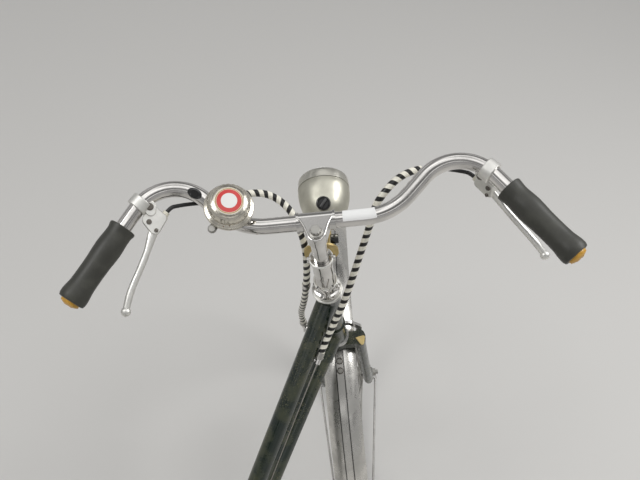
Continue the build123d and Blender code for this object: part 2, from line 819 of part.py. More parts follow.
# headlamp on its bracket
lamp_plane = turned(steer, lamp_place, (1, 0, 0), (0, 1, 0))
with BuildPart() as headlamp_shell:
    ring(lamp_shell_profile, lamp_plane)
store(headlamp_shell, "headlamp_shell")
with BuildPart() as headlamp_rim:
    ring(
        ((lamp_rim_radius - 4.3, fit_gap), (lamp_rim_radius, fit_gap), (lamp_rim_radius, 12),
         (lamp_rim_radius - 1.5, 15.5), (lamp_rim_radius - 4, 17), (lamp_rim_radius - 6.3, 17),
         (lamp_rim_radius - 6.3, 13), (lamp_rim_radius - 4.3, 12)),
        lamp_plane,
    )
store(headlamp_rim, "headlamp_rim")
with BuildPart() as headlamp_lens:
    ring(
        ((0, 7), (lamp_rim_radius - 4.3 - fit_gap, 7), (lamp_rim_radius - 4.3 - fit_gap, 11.5),
         (lamp_rim_radius - 6.3 - fit_gap, 12.5), (lamp_rim_radius - 6.3 - fit_gap, 14.5), (20, 18), (0, 20)),
        lamp_plane,
    )
store(headlamp_lens, "headlamp_lens")

# brakes: two curved arms on a pivot, with pads at the rim


cable_side = 55.0
cable_level = 31.0


def caliper(home, wheel, name):
    """Build a side-pull brake: X of the plane points away from its crown or bridge, and Z up."""
    centre = home.to_local_coords(wheel.origin)
    reach = rim_radius - 8
    pad_level = centre.Z + math.sqrt(reach**2 - (caliper_arm - centre.X) ** 2)
    with BuildPart() as arms:
        bar((fit_gap, 0, 0), (22, 0, 0), 4, home=home)
        for side, depth in ((1, caliper_arm), (-1, caliper_arm + 6)):
            with BuildLine(turned(home, (depth, 0, 0), (1, 0, 0), (0, 1, 0))) as route:
                FilletPolyline(
                    (-side * 4, 3), (side * 24, 5), (side * (caliper_half + 6), -16),
                    (side * caliper_half, pad_level), radius=9,
                )
            line = route.wires()[0]
            with BuildSketch(Plane(origin=line @ 0, x_dir=home.x_dir, z_dir=line % 0)) as section:
                Rectangle(5, 10)
            sweep(section.sketch, path=line)
        bar((caliper_arm, 18, 5), (caliper_arm + 1, cable_side, 23), 3.2, home=home)
        bar((caliper_arm + 1, cable_side, 19), (caliper_arm + 1, cable_side, cable_level), 4.6, home=home)
        bar((caliper_arm + 6, 0, 3), (caliper_arm + 1, cable_side, -6), 3.2, home=home)
        bar((caliper_arm + 1, cable_side, -11), (caliper_arm + 1, cable_side, 20), wire_radius, home=home)
        bar((caliper_arm + 1, cable_side, -6), (caliper_arm + 9, cable_side, -6), 4.4, home=home)
    store(arms, f"{name}_caliper")
    with BuildPart() as pads:
        for side in (-1, 1):
            middle = side * (rim_width / 2 + pad_gap + 4)
            with BuildSketch(
                turned(home, (caliper_arm + 3, middle, pad_level), (1, 0, 0), (0, 1, 0))
            ) as block:
                Rectangle(8, 11)
            extrude(block.sketch, amount=24, both=True)
            bar((caliper_arm + (6 if side < 0 else 0), middle + side * 4, pad_level),
                (caliper_arm + (6 if side < 0 else 0), side * (caliper_half - 5 - fit_gap), pad_level),
                3.4, home=home)
    store(pads, f"{name}_brake_pads")


caliper(turned(steer, (crown_front, 0, crown_low + 12), (0, 0, 1), (1, 0, 0)), front_wheel_plane, "front")
stay_up = (seat_top - rear_axle).normalized()
stay_back = Vector(-stay_up.Z, 0, stay_up.X)
caliper(
    Plane(origin=bridge + stay_back * bridge_radius, x_dir=stay_back, z_dir=stay_up),
    rear_wheel_plane,
    "rear",
)

# drive: cups, axle, cranks, chainring, chain, sprocket and guard
with BuildPart() as bracket_cups:
    cup_inner, cup_outer = crank_axle_radius + cup_play, shell_radius + 0.5
    for side in (-1, 1):
        cup_foot, cup_seat = side * (half_shell.Y - cup_depth), side * half_shell.Y
        cup_face = side * (half_shell.Y + cup_rim)
        ring(
            (
                (cup_inner, cup_foot), (shell_bore, cup_foot), (shell_bore, cup_seat),
                (cup_outer, cup_seat), (cup_outer, cup_face), (cup_inner, cup_face),
            ),
            crank_plane,
        )
store(bracket_cups, "bottom_bracket_cups")
with BuildPart() as crank_axle:
    bar((0, 0, -crank_boss_out), (0, 0, crank_boss_out), crank_axle_radius, home=crank_plane)
store(crank_axle, "crank_axle")

ring_pitch_radius = chain_pitch / 2 / math.sin(math.pi / ring_teeth)
sprocket_pitch_radius = chain_pitch / 2 / math.sin(math.pi / sprocket_teeth)


def toothed(home, teeth, bore, windows=()):
    """Add a chain wheel: a disc with a tooth between each two seats of the chain's rollers."""
    radius = chain_pitch / 2 / math.sin(math.pi / teeth)
    with BuildSketch(turned(home, (0, 0, chain_line - tooth_thickness / 2), (0, 0, 1), (1, 0, 0))) as disc:
        Circle(radius + tooth_above)
        with PolarLocations(radius, teeth):
            Circle(roller_radius, mode=Mode.SUBTRACT)
        Circle(bore, mode=Mode.SUBTRACT)
        for count, circle, hole in windows:
            with PolarLocations(circle, count):
                Circle(hole, mode=Mode.SUBTRACT)
    extrude(disc.sketch, amount=tooth_thickness)


with BuildPart() as chainring:
    toothed(crank_plane, ring_teeth, crank_boss_radius, ((5, 56, 19),))
store(chainring, "chainring")
boss_in = {"left": crank_boss_in, "right": chain_line - tooth_thickness / 2}
for name, side in sides.items():
    angle = math.radians(crank_turn if side < 0 else crank_turn + 180)
    arm_plane = turned(crank_plane, (0, 0, 0), (0, 0, -side), (math.cos(angle), math.sin(angle), 0))
    level_way = (math.cos(angle), side * math.sin(angle), 0)
    pedal_plane = turned(arm_plane, (crank_length, 0, crank_boss_out), (0, 0, 1), level_way)
    with BuildPart() as crank_arm:
        bar((0, 0, boss_in[name]), (0, 0, crank_boss_out), crank_boss_radius, home=arm_plane)
        bar((crank_length, 0, crank_boss_in + 2), (crank_length, 0, crank_boss_out), crank_eye_radius,
            home=arm_plane)
        with BuildSketch(turned(arm_plane, (0, 0, crank_boss_in + 3), (0, 0, 1), (1, 0, 0))) as arm:
            with BuildLine():
                Polyline((0, 13), (crank_length, 9), (crank_length, -9), (0, -13), close=True)
            make_face()
        extrude(arm.sketch, amount=crank_arm_thickness)
        bar((0, 0, 0), (0, 0, 2 * crank_boss_out), crank_axle_radius, home=arm_plane, mode=Mode.SUBTRACT)
        bar((0, 0, -1), (0, 0, pedal_gap - 1), pedal_bearing_radius, home=pedal_plane)
        bar((0, 0, 0), (0, 0, pedal_gap + pedal_width + 3), spindle_radius, home=pedal_plane)
    store(crank_arm, f"crank_{name}")
    with BuildPart() as pedal_cage:
        bar((0, 0, pedal_gap), (0, 0, pedal_gap + pedal_width), pedal_core_radius, home=pedal_plane)
        for level in (pedal_gap, pedal_gap + pedal_width - pedal_plate):
            with BuildSketch(turned(pedal_plane, (0, 0, level), (0, 0, 1), (1, 0, 0))) as plate:
                RectangleRounded(pedal_length, 20, 9)
            extrude(plate.sketch, amount=pedal_plate)
        bar((0, 0, 0), (0, 0, pedal_gap + 2 * pedal_width), spindle_radius + axle_play,
            home=pedal_plane, mode=Mode.SUBTRACT)
    store(pedal_cage, f"pedal_{name}")
    with BuildPart() as rubbers:
        for way_x in (-1, 1):
            with BuildSketch(
                turned(pedal_plane, (way_x * pedal_length * 0.33, 0, pedal_gap + pedal_plate + fit_gap),
                       (0, 0, 1), (1, 0, 0))
            ) as tread:
                RectangleRounded(rubber_width, rubber_height, 5)
            extrude(tread.sketch, amount=pedal_width - 2 * pedal_plate - 2 * fit_gap)
        bar((0, 0, 0), (0, 0, pedal_gap + 2 * pedal_width), pedal_core_radius + fit_gap,
            home=pedal_plane, mode=Mode.SUBTRACT)
    store(rubbers, f"pedal_rubbers_{name}")

with BuildPart() as sprocket:
    toothed(rear_wheel_plane, sprocket_teeth, freewheel_bore)
    body_low, body_high = rear_flange_spread / 2 + 5, chain_line + 1
    ring(
        (
            (freewheel_bore, body_low), (freewheel_radius - 2, body_low),
            (freewheel_radius, body_low + 2), (freewheel_radius, body_high), (freewheel_bore, body_high),
        ),
        rear_wheel_plane,
    )
store(sprocket, "sprocket")

wheel_centre = (-stay_run, bottom_bracket_drop)


def belt(growth, low, high, mode=Mode.ADD):
    """Add a slab inside the chain's line, grown outwards by a distance."""
    with BuildSketch(turned(crank_plane, (0, 0, low), (0, 0, 1), (1, 0, 0))) as slab:
        with BuildLine():
            CenterArc((0, 0), ring_pitch_radius + growth, 0, 360)
            CenterArc(wheel_centre, sprocket_pitch_radius + growth, 0, 360)
        make_hull()
    extrude(slab.sketch, amount=high - low, mode=mode)


with BuildPart() as chain:
    belt(chain_height / 2, chain_line - chain_width / 2, chain_line + chain_width / 2)
    belt(-chain_height / 2, chain_line - chain_width, chain_line + chain_width, mode=Mode.SUBTRACT)
    belt(tooth_above + 0.7, chain_line - tooth_thickness / 2 - 0.6, chain_line + tooth_thickness / 2 + 0.6,
         mode=Mode.SUBTRACT)
store(chain, "chain")

# chain guard: a plate beside the upper run with a turned-in edge, held by a rod and a tab
guard_low = chain_line + chain_width / 2 + cover_gap
guard_high = guard_low + cover_wall
cover_cut = (
    # x, z from the bottom bracket: what the cover leaves open below
    (160, -40), (60, -60), (20, -40), (-40, 10), (-110, 48), (40 - stay_run, 78), (40 - stay_run, 200),
    (-stay_run - 200, 200), (-stay_run - 200, -200), (160, -200),
)
with BuildPart() as chain_guard:
    with BuildSketch(turned(crank_plane, (0, 0, chain_line - cover_inside), (0, 0, 1), (1, 0, 0))) as slab:
        with BuildLine():
            CenterArc((0, 0), ring_pitch_radius + cover_clear, 0, 360)
            CenterArc(wheel_centre, sprocket_pitch_radius + cover_clear, 0, 360)
        make_hull()
        with BuildLine():
            Polyline(*cover_cut, close=True)
        make_face(mode=Mode.SUBTRACT)
    extrude(slab.sketch, amount=guard_high - chain_line + cover_inside)
    belt(cover_clear - cover_wall, chain_line - cover_inside - 3, guard_low, mode=Mode.SUBTRACT)
    bar((0, 0, 0), (0, 0, 100), crank_boss_radius + 10, home=crank_plane, mode=Mode.SUBTRACT)
    lower_way = lower_joint - bottom_bracket
    clip_angle = math.atan2(lower_way.Z, lower_way.X)
    clip_out = ring_pitch_radius + cover_clear + 2
    clip = (clip_out * math.cos(clip_angle), clip_out * math.sin(clip_angle))
    bar((*clip, lower_tube_radius + fit_gap), (*clip, chain_line), 3.5, home=crank_plane)
    tab_foot = part_way(stay_start, stay_stop, tab_share)
    tab_low = tab_foot.Z - bottom_bracket.Z + 6
    tab_middle = (tab_foot.X - bottom_bracket.X, (tab_low + tab_top) / 2, guard_low)
    with BuildSketch(turned(crank_plane, tab_middle, (0, 0, 1), (1, 0, 0))) as tab:
        Rectangle(tab_width, tab_top - tab_low)
    extrude(tab.sketch, amount=cover_wall)
store(chain_guard, "chain_guard")

# seat post, saddle frame with its springs, and cover
post_top = seat_top + seat_way * post_length
with BuildPart() as seat_post:
    bar(seat_top - seat_way * post_depth, post_top, seat_post_radius)
store(seat_post, "seat_post")
saddle_base = Plane(origin=(post_top.X + saddle_set, 0, post_top.Z + 6), x_dir=(1, 0, 0), z_dir=(0, 0, 1))
cover_level = spring_height + 4
clamp_x = -saddle_set
with BuildPart() as saddle_frame:
    bar(post_top - seat_way * 34, post_top + seat_way * 3, seat_post_radius + 4)
    bar((clamp_x, -seat_clamp_half, -6), (clamp_x, seat_clamp_half, -6), seat_clamp_radius,
        home=saddle_base)
    for side in (-1, 1):
        bent_bar(
            (
                (-spring_back, side * spring_spread, 2), (-70, side * 26, -6), (60, side * 22, -6),
                (saddle_nose + 13, side * 8, spring_height),
            ),
            (14, 60), rail_radius, home=saddle_base,
        )
        bar((-spring_back, side * spring_spread, 4), (-spring_back, side * spring_spread, spring_height),
            spring_radius, home=saddle_base)
    cross_half = spring_spread + spring_radius - 1
    bar((-spring_back, -cross_half, spring_height), (-spring_back, cross_half, spring_height),
        rail_radius + 0.1, home=saddle_base)
    bar((saddle_nose - 3, 0, spring_height - 1), (saddle_nose - 3, 0, cover_level - fit_gap), 14,
        home=saddle_base)
    bar(post_top - seat_way * 80, post_top + seat_way * fit_gap, seat_post_radius + axle_play,
        mode=Mode.SUBTRACT)
store(saddle_frame, "saddle_frame")
with BuildPart() as saddle_cover:
    with BuildSketch(turned(saddle_base, (0, 0, cover_level), (0, 0, 1), (1, 0, 0))) as outline:
        with BuildLine():
            CenterArc((-saddle_back, saddle_half), saddle_corner, 0, 360)
            CenterArc((-saddle_back, -saddle_half), saddle_corner, 0, 360)
            CenterArc((-10, 0), saddle_waist, 0, 360)
        make_hull()
        with BuildLine():
            CenterArc((-40, 0), saddle_body, 0, 360)
            CenterArc((saddle_nose, 0), saddle_tip, 0, 360)
        make_hull()
    extrude(outline.sketch, amount=saddle_thickness)
    fillet(saddle_cover.faces().sort_by(Axis.Z)[-1].edges(), saddle_round)
store(saddle_cover, "saddle_cover")

# centre stand: plates clamped on the chain stays, and two legs that splay to their feet
shell_back = bottom_bracket.X - shell_radius
tyre_front = rear_axle.X + math.sqrt(tyre_radius**2 - bottom_bracket_drop**2)
pivot_x = shell_back + stand_share * (tyre_front - shell_back)
stay_way = Vector((stay_stop - stay_start).X, 0, (stay_stop - stay_start).Z).normalized()
stay_normal = Vector(stay_way.Z, 0, -stay_way.X)
clamp_share = (stay_start.X - pivot_x) / (stay_start.X - stay_stop.X)
clamp_at = part_way(stay_start, stay_stop, clamp_share)
clamp_at = Vector(clamp_at.X, 0, clamp_at.Z)
stand_pivot = Vector(pivot_x, 0, clamp_at.Z - stand_drop)
clamp_slope = math.atan((chain_stay_radius - stay_end_radius) / (stay_stop - stay_start).length)
clamp_radius = chain_stay_radius + (stay_end_radius - chain_stay_radius) * clamp_share
clamp_out = clamp_radius + fit_gap + 0.4 + stand_plate_thickness / 2
ear_middle = stand_ear_gap + stand_ear_thickness / 2
with BuildPart() as stand_bracket:
    for way in (-1, 1):
        with Locations(
            Plane(
                origin=clamp_at + stay_normal * way * clamp_out,
                x_dir=stay_way.rotate(Axis.Y, math.degrees(clamp_slope) * way),
                z_dir=stay_normal.rotate(Axis.Y, math.degrees(clamp_slope) * way),
            )
        ):
            Box(stand_plate_length, stand_plate_width, stand_plate_thickness)
    bolt_at = clamp_at + stay_way * 8
    bar(bolt_at - stay_normal * (clamp_radius + 6), bolt_at + stay_normal * (clamp_radius + 9), 4)
    for side in (-1, 1):
        with BuildSketch(side_plane(stand_pivot, side * ear_middle + stand_ear_thickness / 2)) as ear:
            with BuildLine():
                Polyline((-18, 16.5), (18, 12.5), (9, -8), (-9, -8), close=True)
            make_face()
        extrude(ear.sketch, amount=stand_ear_thickness)
    half_pin = Vector(0, 36, 0)
    bar(stand_pivot - half_pin, stand_pivot + half_pin, stand_pin_radius)
store(stand_bracket, "stand_bracket")
with BuildPart() as stand:
    for side in (-1, 1):
        foot = Vector(pivot_x + stand_forward, side * stand_half_width, 5)
        knee = part_way(stand_pivot, Vector(foot.X, 0, 5), 0.7) + Vector(0, side * stand_knee_out, 0)
        bar(stand_pivot + Vector(0, side * 22, 0), stand_pivot + Vector(0, side * 34, 0), 8.5)
        bent_bar((stand_pivot + Vector(0, side * 28, -4), knee, foot), 60, stand_leg_radius)
        bar((foot.X, foot.Y, 0), (foot.X, foot.Y, stand_foot_height), stand_foot_radius)
    tie = part_way(stand_pivot, Vector(pivot_x + stand_forward, 0, 5), 0.13)
    bar(tie - Vector(0, 28, 0), tie + Vector(0, 28, 0), 4)
    bar(stand_pivot - 2 * half_pin, stand_pivot + 2 * half_pin, stand_pin_radius + axle_play,
        mode=Mode.SUBTRACT)
store(stand, "stand")

# reflector at the rear mudguard's back
with BuildPart() as rear_reflector:
    back = wheel_section(rear_wheel_plane, reflector_angle)
    place = turned(back, (guard_radius + guard_rise + fit_gap, 0, 0), (1, 0, 0), (0, 0, 1))
    ring(((0, 0), (6, 0), (6, 5), (reflector_radius, 5), (reflector_radius, 13), (0, 15)), place)
store(rear_reflector, "rear_reflector")

# brake cables: each housing runs through points chosen by hand, the bare wire is straight


def cord(label, points, radius):
    """Add a round cord whose corners are as round as their runs allow, and print their radii."""
    runs = [Vector(*b) - Vector(*a) for a, b in zip(points, points[1:])]
    bends = []
    for a, b in zip(runs, runs[1:]):
        half_turn = math.radians(a.get_angle(b) / 2)
        bends.append(0.45 * min(a.length, b.length) / math.tan(half_turn))
    with BuildLine() as route:
        FilletPolyline(*points, radius=bends)
    line = route.wires()[0]
    with BuildSketch(Plane(origin=line @ 0, z_dir=line % 0)) as section:
        Circle(radius)
    sweep(section.sketch, path=line)
    print(label, "length", round(line.length), "radii", [round(bend) for bend in bends])


def steered(points):
    """Points given from the bar's centre in the steering's directions, as points of the whole."""
    return tuple(tuple(spot(steer, *point)) for point in points)


front_cable_route = (
    # forward, left, up from the bar's centre, in the steering's directions
    (58.85, 191.26, 16.87), (62.84, 176.36, 13.98), (71, 148, 0), (86, 114, -14), (99, 80, -27),
    (89, 52, -37), (62, 31, -47), (30, 22, -85), (12, 28, -140), (8, 37, -195), (12, 47, -247),
    (24, 55, -296), (24, 55, -340.1),
)
rear_cable_start = (
    # in the same directions, down to where the cable leaves the bars
    (79.87, -210.77, -1.58), (89.41, -201.02, -9.35), (99, -176, -13), (99, -147, -9), (90, -122, -8),
    (75, -103, -10), (57.6, -82.2, -25),
)
rear_cable_rest = (
    # x, y, z on the way down to the stop on the upper tube
    (358, -37, 946), (339.7, -35, 900.3), (321, -35, 863.4), (309, -32, 824), (299, -25, 785),
    (286.96, -20, 753.4), (267, -20, 731),
)
rear_tail_route = (
    # x, y, z from the lower stop, round the seat tube and over to the rear brake
    (-41, -20, 393), (-62.29, -20, 369.11), (-98, -26, 348), (-136, -29, 354), (-161, -31, 386),
    (-174, -33, 430), (-187, -36.5, 478), (-200, -39, 530), (-213, -42, 582), (-226, -46, 632),
    (-243, -50, 676), (-268, -54, 703), (-297, -55, 697), (-318.5, -55, 663.9),
)
with BuildPart() as front_cable:
    cord("front_brake_cable", steered(front_cable_route), cable_radius)
store(front_cable, "front_brake_cable")
with BuildPart() as rear_cable:
    cord("rear_brake_cable", steered(rear_cable_start) + rear_cable_rest, cable_radius)
store(rear_cable, "rear_brake_cable")
with BuildPart() as rear_tail:
    cord("rear_brake_tail", rear_tail_route, cable_radius)
store(rear_tail, "rear_brake_tail")
wire_start, wire_stop = Vector(*rear_cable_rest[-1]), Vector(*rear_tail_route[0])
tube_way = (upper_meet - upper_joint).normalized()
with BuildPart() as rear_wire:
    bar(wire_start + tube_way * 8.6, wire_stop - tube_way * 8.6, wire_radius)
store(rear_wire, "rear_brake_wire")
with BuildPart() as cable_stops:
    for end, way in ((wire_start, 1), (wire_stop, -1)):
        near = end + tube_way * way * fit_gap
        bar(near, near + tube_way * way * 8, cable_radius + 0.8)
        middle = near + tube_way * way * 4
        axis_foot = upper_joint + tube_way * (middle - upper_joint).dot(tube_way)
        out = (middle - axis_foot).normalized()
        bar(axis_foot + out * (upper_tube_radius + fit_gap), middle, 2.6)
store(cable_stops, "cable_stops")

# mudguard stays
with BuildPart() as front_stays:
    guard_stays(front_wheel_plane, (158,), front_eyelet, tip_half + tip_thickness)
store(front_stays, "front_mudguard_stays")
with BuildPart() as rear_guard_wires:
    guard_stays(rear_wheel_plane, (178, 138), rear_eyelet, rear_axle_gap / 2 + dropout_thickness)
store(rear_guard_wires, "rear_mudguard_stays")

# lamp bracket and switch
lamp_foot = (lamp_place[0] - lamp_foot_back, lamp_place[1], lamp_place[2] - lamp_radius - fit_gap)
lamp_elbow = (lamp_foot[0], lamp_foot[1], lamp_foot[2] - 9)
with BuildPart() as headlamp_bracket:
    with BuildSketch(turned(steer, (16 + fit_gap, 0, lamp_plate_level), (1, 0, 0), (0, 1, 0))) as plate:
        RectangleRounded(lamp_plate_width, lamp_plate_height, lamp_plate_corner)
    extrude(plate.sketch, amount=3)
    bar((17.5, lamp_place[1], lamp_arm_level), lamp_elbow, 5, home=steer)
    bar(lamp_foot, (lamp_foot[0], lamp_foot[1], lamp_foot[2] - 13), 7, home=steer)
store(headlamp_bracket, "headlamp_bracket")
with BuildPart() as headlamp_switch:
    knob = turned(lamp_plane, (0, *knob_place), (0, 0.925, -0.38), (1, 0, 0))
    ring(
        ((0, fit_gap), (knob_radius - 0.4, fit_gap), (knob_radius, 2), (knob_radius - 0.4, 7),
         (knob_radius - 3, 9), (0, 9.5)),
        knob,
    )
store(headlamp_switch, "headlamp_switch")

# the finished pieces, moved so that the origin lies below the middle of the box round them all
boxes = [piece.bounding_box() for piece in pieces]
middle_x = (min(box.min.X for box in boxes) + max(box.max.X for box in boxes)) / 2
middle_y = (min(box.min.Y for box in boxes) + max(box.max.Y for box in boxes)) / 2
for piece in pieces:
    piece.move(Location((-middle_x, -middle_y, 0)))
    export_step(piece, f"parts/{piece.label}.step")
print("moved by", round(-middle_x, 3), round(-middle_y, 3))
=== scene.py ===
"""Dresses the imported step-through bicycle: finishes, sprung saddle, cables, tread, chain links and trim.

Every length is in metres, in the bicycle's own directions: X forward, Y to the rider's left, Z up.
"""

import json
import logging
import math
from dataclasses import dataclass
from enum import Enum
from typing import Callable, Iterable, Optional, Sequence

import bmesh
import bpy
from mathutils import Matrix, Vector

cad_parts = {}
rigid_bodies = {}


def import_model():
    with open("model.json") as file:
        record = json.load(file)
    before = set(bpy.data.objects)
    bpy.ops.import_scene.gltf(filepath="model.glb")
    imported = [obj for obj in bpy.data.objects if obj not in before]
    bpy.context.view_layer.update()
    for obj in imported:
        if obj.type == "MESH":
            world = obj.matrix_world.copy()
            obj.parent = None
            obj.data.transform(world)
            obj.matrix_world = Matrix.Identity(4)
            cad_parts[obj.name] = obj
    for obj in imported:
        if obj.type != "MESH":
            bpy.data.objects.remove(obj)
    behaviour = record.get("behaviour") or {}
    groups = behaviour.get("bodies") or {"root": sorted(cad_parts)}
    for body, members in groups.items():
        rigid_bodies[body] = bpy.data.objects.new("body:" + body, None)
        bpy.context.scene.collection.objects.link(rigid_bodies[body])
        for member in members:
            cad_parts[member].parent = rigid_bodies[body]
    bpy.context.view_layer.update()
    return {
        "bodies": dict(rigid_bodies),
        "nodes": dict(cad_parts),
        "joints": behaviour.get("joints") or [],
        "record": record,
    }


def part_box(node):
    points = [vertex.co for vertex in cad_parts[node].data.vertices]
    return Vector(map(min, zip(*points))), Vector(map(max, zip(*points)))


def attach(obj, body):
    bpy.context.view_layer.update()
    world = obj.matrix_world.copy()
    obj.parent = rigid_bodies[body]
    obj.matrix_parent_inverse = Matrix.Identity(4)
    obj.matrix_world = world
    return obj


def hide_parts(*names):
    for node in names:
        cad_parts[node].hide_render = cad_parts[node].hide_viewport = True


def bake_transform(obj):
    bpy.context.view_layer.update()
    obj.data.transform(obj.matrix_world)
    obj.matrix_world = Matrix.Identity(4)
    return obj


log = logging.getLogger("bicycle")
MM = 0.001
CRANK_PLACE = (-0.072, 0, 0.285)  # from the floor in the frame's middle plane


class Body(Enum):
    """The moving bodies that pieces ride on."""

    FRAME = "frame_body"
    STEERING = "steering"
    FRONT_WHEEL = "front_wheel"
    REAR_WHEEL = "rear_wheel"
    LEFT_PEDAL = "left_pedal"
    RIGHT_PEDAL = "right_pedal"


class Side(Enum):
    """The rider's two sides, as the sign of Y."""

    LEFT = 1
    RIGHT = -1


# places


def place(origin: Sequence[float], z_way: Sequence[float], x_way: Sequence[float]) -> Matrix:
    """Make the matrix of a point and two directions.

    Args:
        origin: The point, in metres.
        z_way: The direction of the local Z.
        x_way: A direction near the local X.

    Returns:
        The matrix from local to bicycle coordinates.
    """
    z = Vector(z_way).normalized()
    x = Vector(x_way)
    x = (x - z * x.dot(z)).normalized()
    y = z.cross(x)
    turn = Matrix((x, y, z)).transposed().to_4x4()
    return Matrix.Translation(Vector(origin)) @ turn


def local_place(
    home: Matrix, origin: Sequence[float], z_way: Sequence[float], x_way: Sequence[float]
) -> Matrix:
    """Make a place given in the directions of another one.

    Args:
        home: The place whose directions are used.
        origin: The point in its coordinates.
        z_way: The direction of the new Z in its coordinates.
        x_way: A direction near the new X in its coordinates.

    Returns:
        The matrix of the new place.
    """
    turn = home.to_3x3()
    return place(home @ Vector(origin), turn @ Vector(z_way), turn @ Vector(x_way))


@dataclass(frozen=True)
class Layout:
    """The bicycle's main places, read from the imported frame.

    The steering place has X forward, Y left and Z up the steering axis. A wheel's or the crank's place has
    its Z to the right along the axle. The frame place starts on the floor in the frame's middle plane.
    """

    steering: Matrix
    front_wheel: Matrix
    rear_wheel: Matrix
    crank: Matrix
    frame: Matrix

    @classmethod
    def read(cls, joints: Iterable[dict]) -> "Layout":
        """Work the places out from the joints.

        Args:
            joints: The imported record's joints.

        Returns:
            The layout.
        """
        known = {joint["name"]: joint for joint in joints}
        steer = known["steering_turn"]
        wheel = known["front_wheel_spin"]
        up = Vector(steer["axis"])
        right = Vector(wheel["axis"])
        steering = place(steer["pos_m"], up, (-right).cross(up))
        crank = Vector(known["crank_spin"]["pos_m"])
        return cls(
            steering=steering,
            front_wheel=place(wheel["pos_m"], right, steering.col[0].xyz),
            rear_wheel=place(known["rear_wheel_spin"]["pos_m"], (0, -1, 0), (1, 0, 0)),
            crank=place(crank, (0, -1, 0), (1, 0, 0)),
            frame=Matrix.Translation(crank - Vector(CRANK_PLACE)),
        )


@dataclass(frozen=True)
class BarLine:
    """The handlebar's centre line in the steering's directions: straight runs joined by arcs."""

    home: Matrix
    corners: tuple = (
        (-0.0594, 0.3205, 0.0083), (0.1084, 0.1981, 0.0395), (0.024, 0.1017, 0), (0.024, -0.1017, 0),
        (0.1084, -0.1981, 0.0395), (-0.0594, -0.3205, 0.0083),
    )
    bends: tuple = (0.0609, 0.087, 0.087, 0.0609)

    def at(self, side: Side, along: float) -> Matrix:
        """Find the place across the bar at a distance from one end.

        Args:
            side: The end that the distance starts from.
            along: The distance along the bar.

        Returns:
            The place, with Z towards the other end and X down.
        """
        point, way = self._follow(along)
        mirror = Matrix.Diagonal((1, side.value, 1))
        point, way = mirror @ point, mirror @ way
        down = Vector((0, 0, -1))
        return local_place(self.home, point, way, down - way * down.dot(way))

    def _follow(self, along: float) -> tuple[Vector, Vector]:
        """Follow the line from its left end.

        Args:
            along: The distance.

        Returns:
            The point and the direction there.
        """
        corners = [Vector(corner) for corner in self.corners]
        start = corners[0]
        for before, corner, after, bend in zip(corners, corners[1:], corners[2:], self.bends):
            way_in, way_out = (corner - before).normalized(), (after - corner).normalized()
            turn = way_in.angle(way_out)
            first = corner - way_in * (bend * math.tan(turn / 2))
            run = (first - start).length
            if along <= run:
                return start + way_in * along, way_in
            along -= run
            if along <= bend * turn:
                axis = way_in.cross(way_out).normalized()
                swing = Matrix.Rotation(along / bend, 3, axis)
                centre = first + axis.cross(way_in) * bend
                return centre + swing @ (first - centre), swing @ way_in
            along -= bend * turn
            start = corner + way_out * (bend * math.tan(turn / 2))
        way = (corners[-1] - corners[-2]).normalized()
        return start + way * along, way


# shader graphs


class Value:
    """One output in a shader graph, with arithmetic that adds Math nodes."""

    def __init__(self, graph: "Graph", socket: bpy.types.NodeSocket) -> None:
        """Wrap a socket of a graph.

        Args:
            graph: The graph that holds it.
            socket: The output.
        """
        self.graph = graph
        self.socket = socket

    def __add__(self, other: "Value | float") -> "Value":
        """Return the sum."""
        return self.graph.maths("ADD", self, other)

    __radd__ = __add__

    def __mul__(self, other: "Value | float") -> "Value":
        """Return the product."""
        return self.graph.maths("MULTIPLY", self, other)

    __rmul__ = __mul__

    def __sub__(self, other: "Value | float") -> "Value":
        """Return the difference."""
        return self.graph.maths("SUBTRACT", self, other)

    def __rsub__(self, other: float) -> "Value":
        """Return a number less this value."""
        return self.graph.maths("SUBTRACT", other, self)

    def __truediv__(self, other: "Value | float") -> "Value":
        """Return the quotient."""
        return self.graph.maths("DIVIDE", self, other)

    def fraction(self) -> "Value":
        """Return the part after the decimal point."""
        return self.graph.maths("FRACT", self)

    def ramp(self, low: float, high: float) -> "Value":
        """Return 0 below low, 1 above high and a smooth step between."""
        return self.graph.output(
            "ShaderNodeMapRange", "Result", {"interpolation_type": "SMOOTHSTEP"},
            Value=self, **{"From Min": low, "From Max": high},
        )


Colour = tuple[float, float, float]


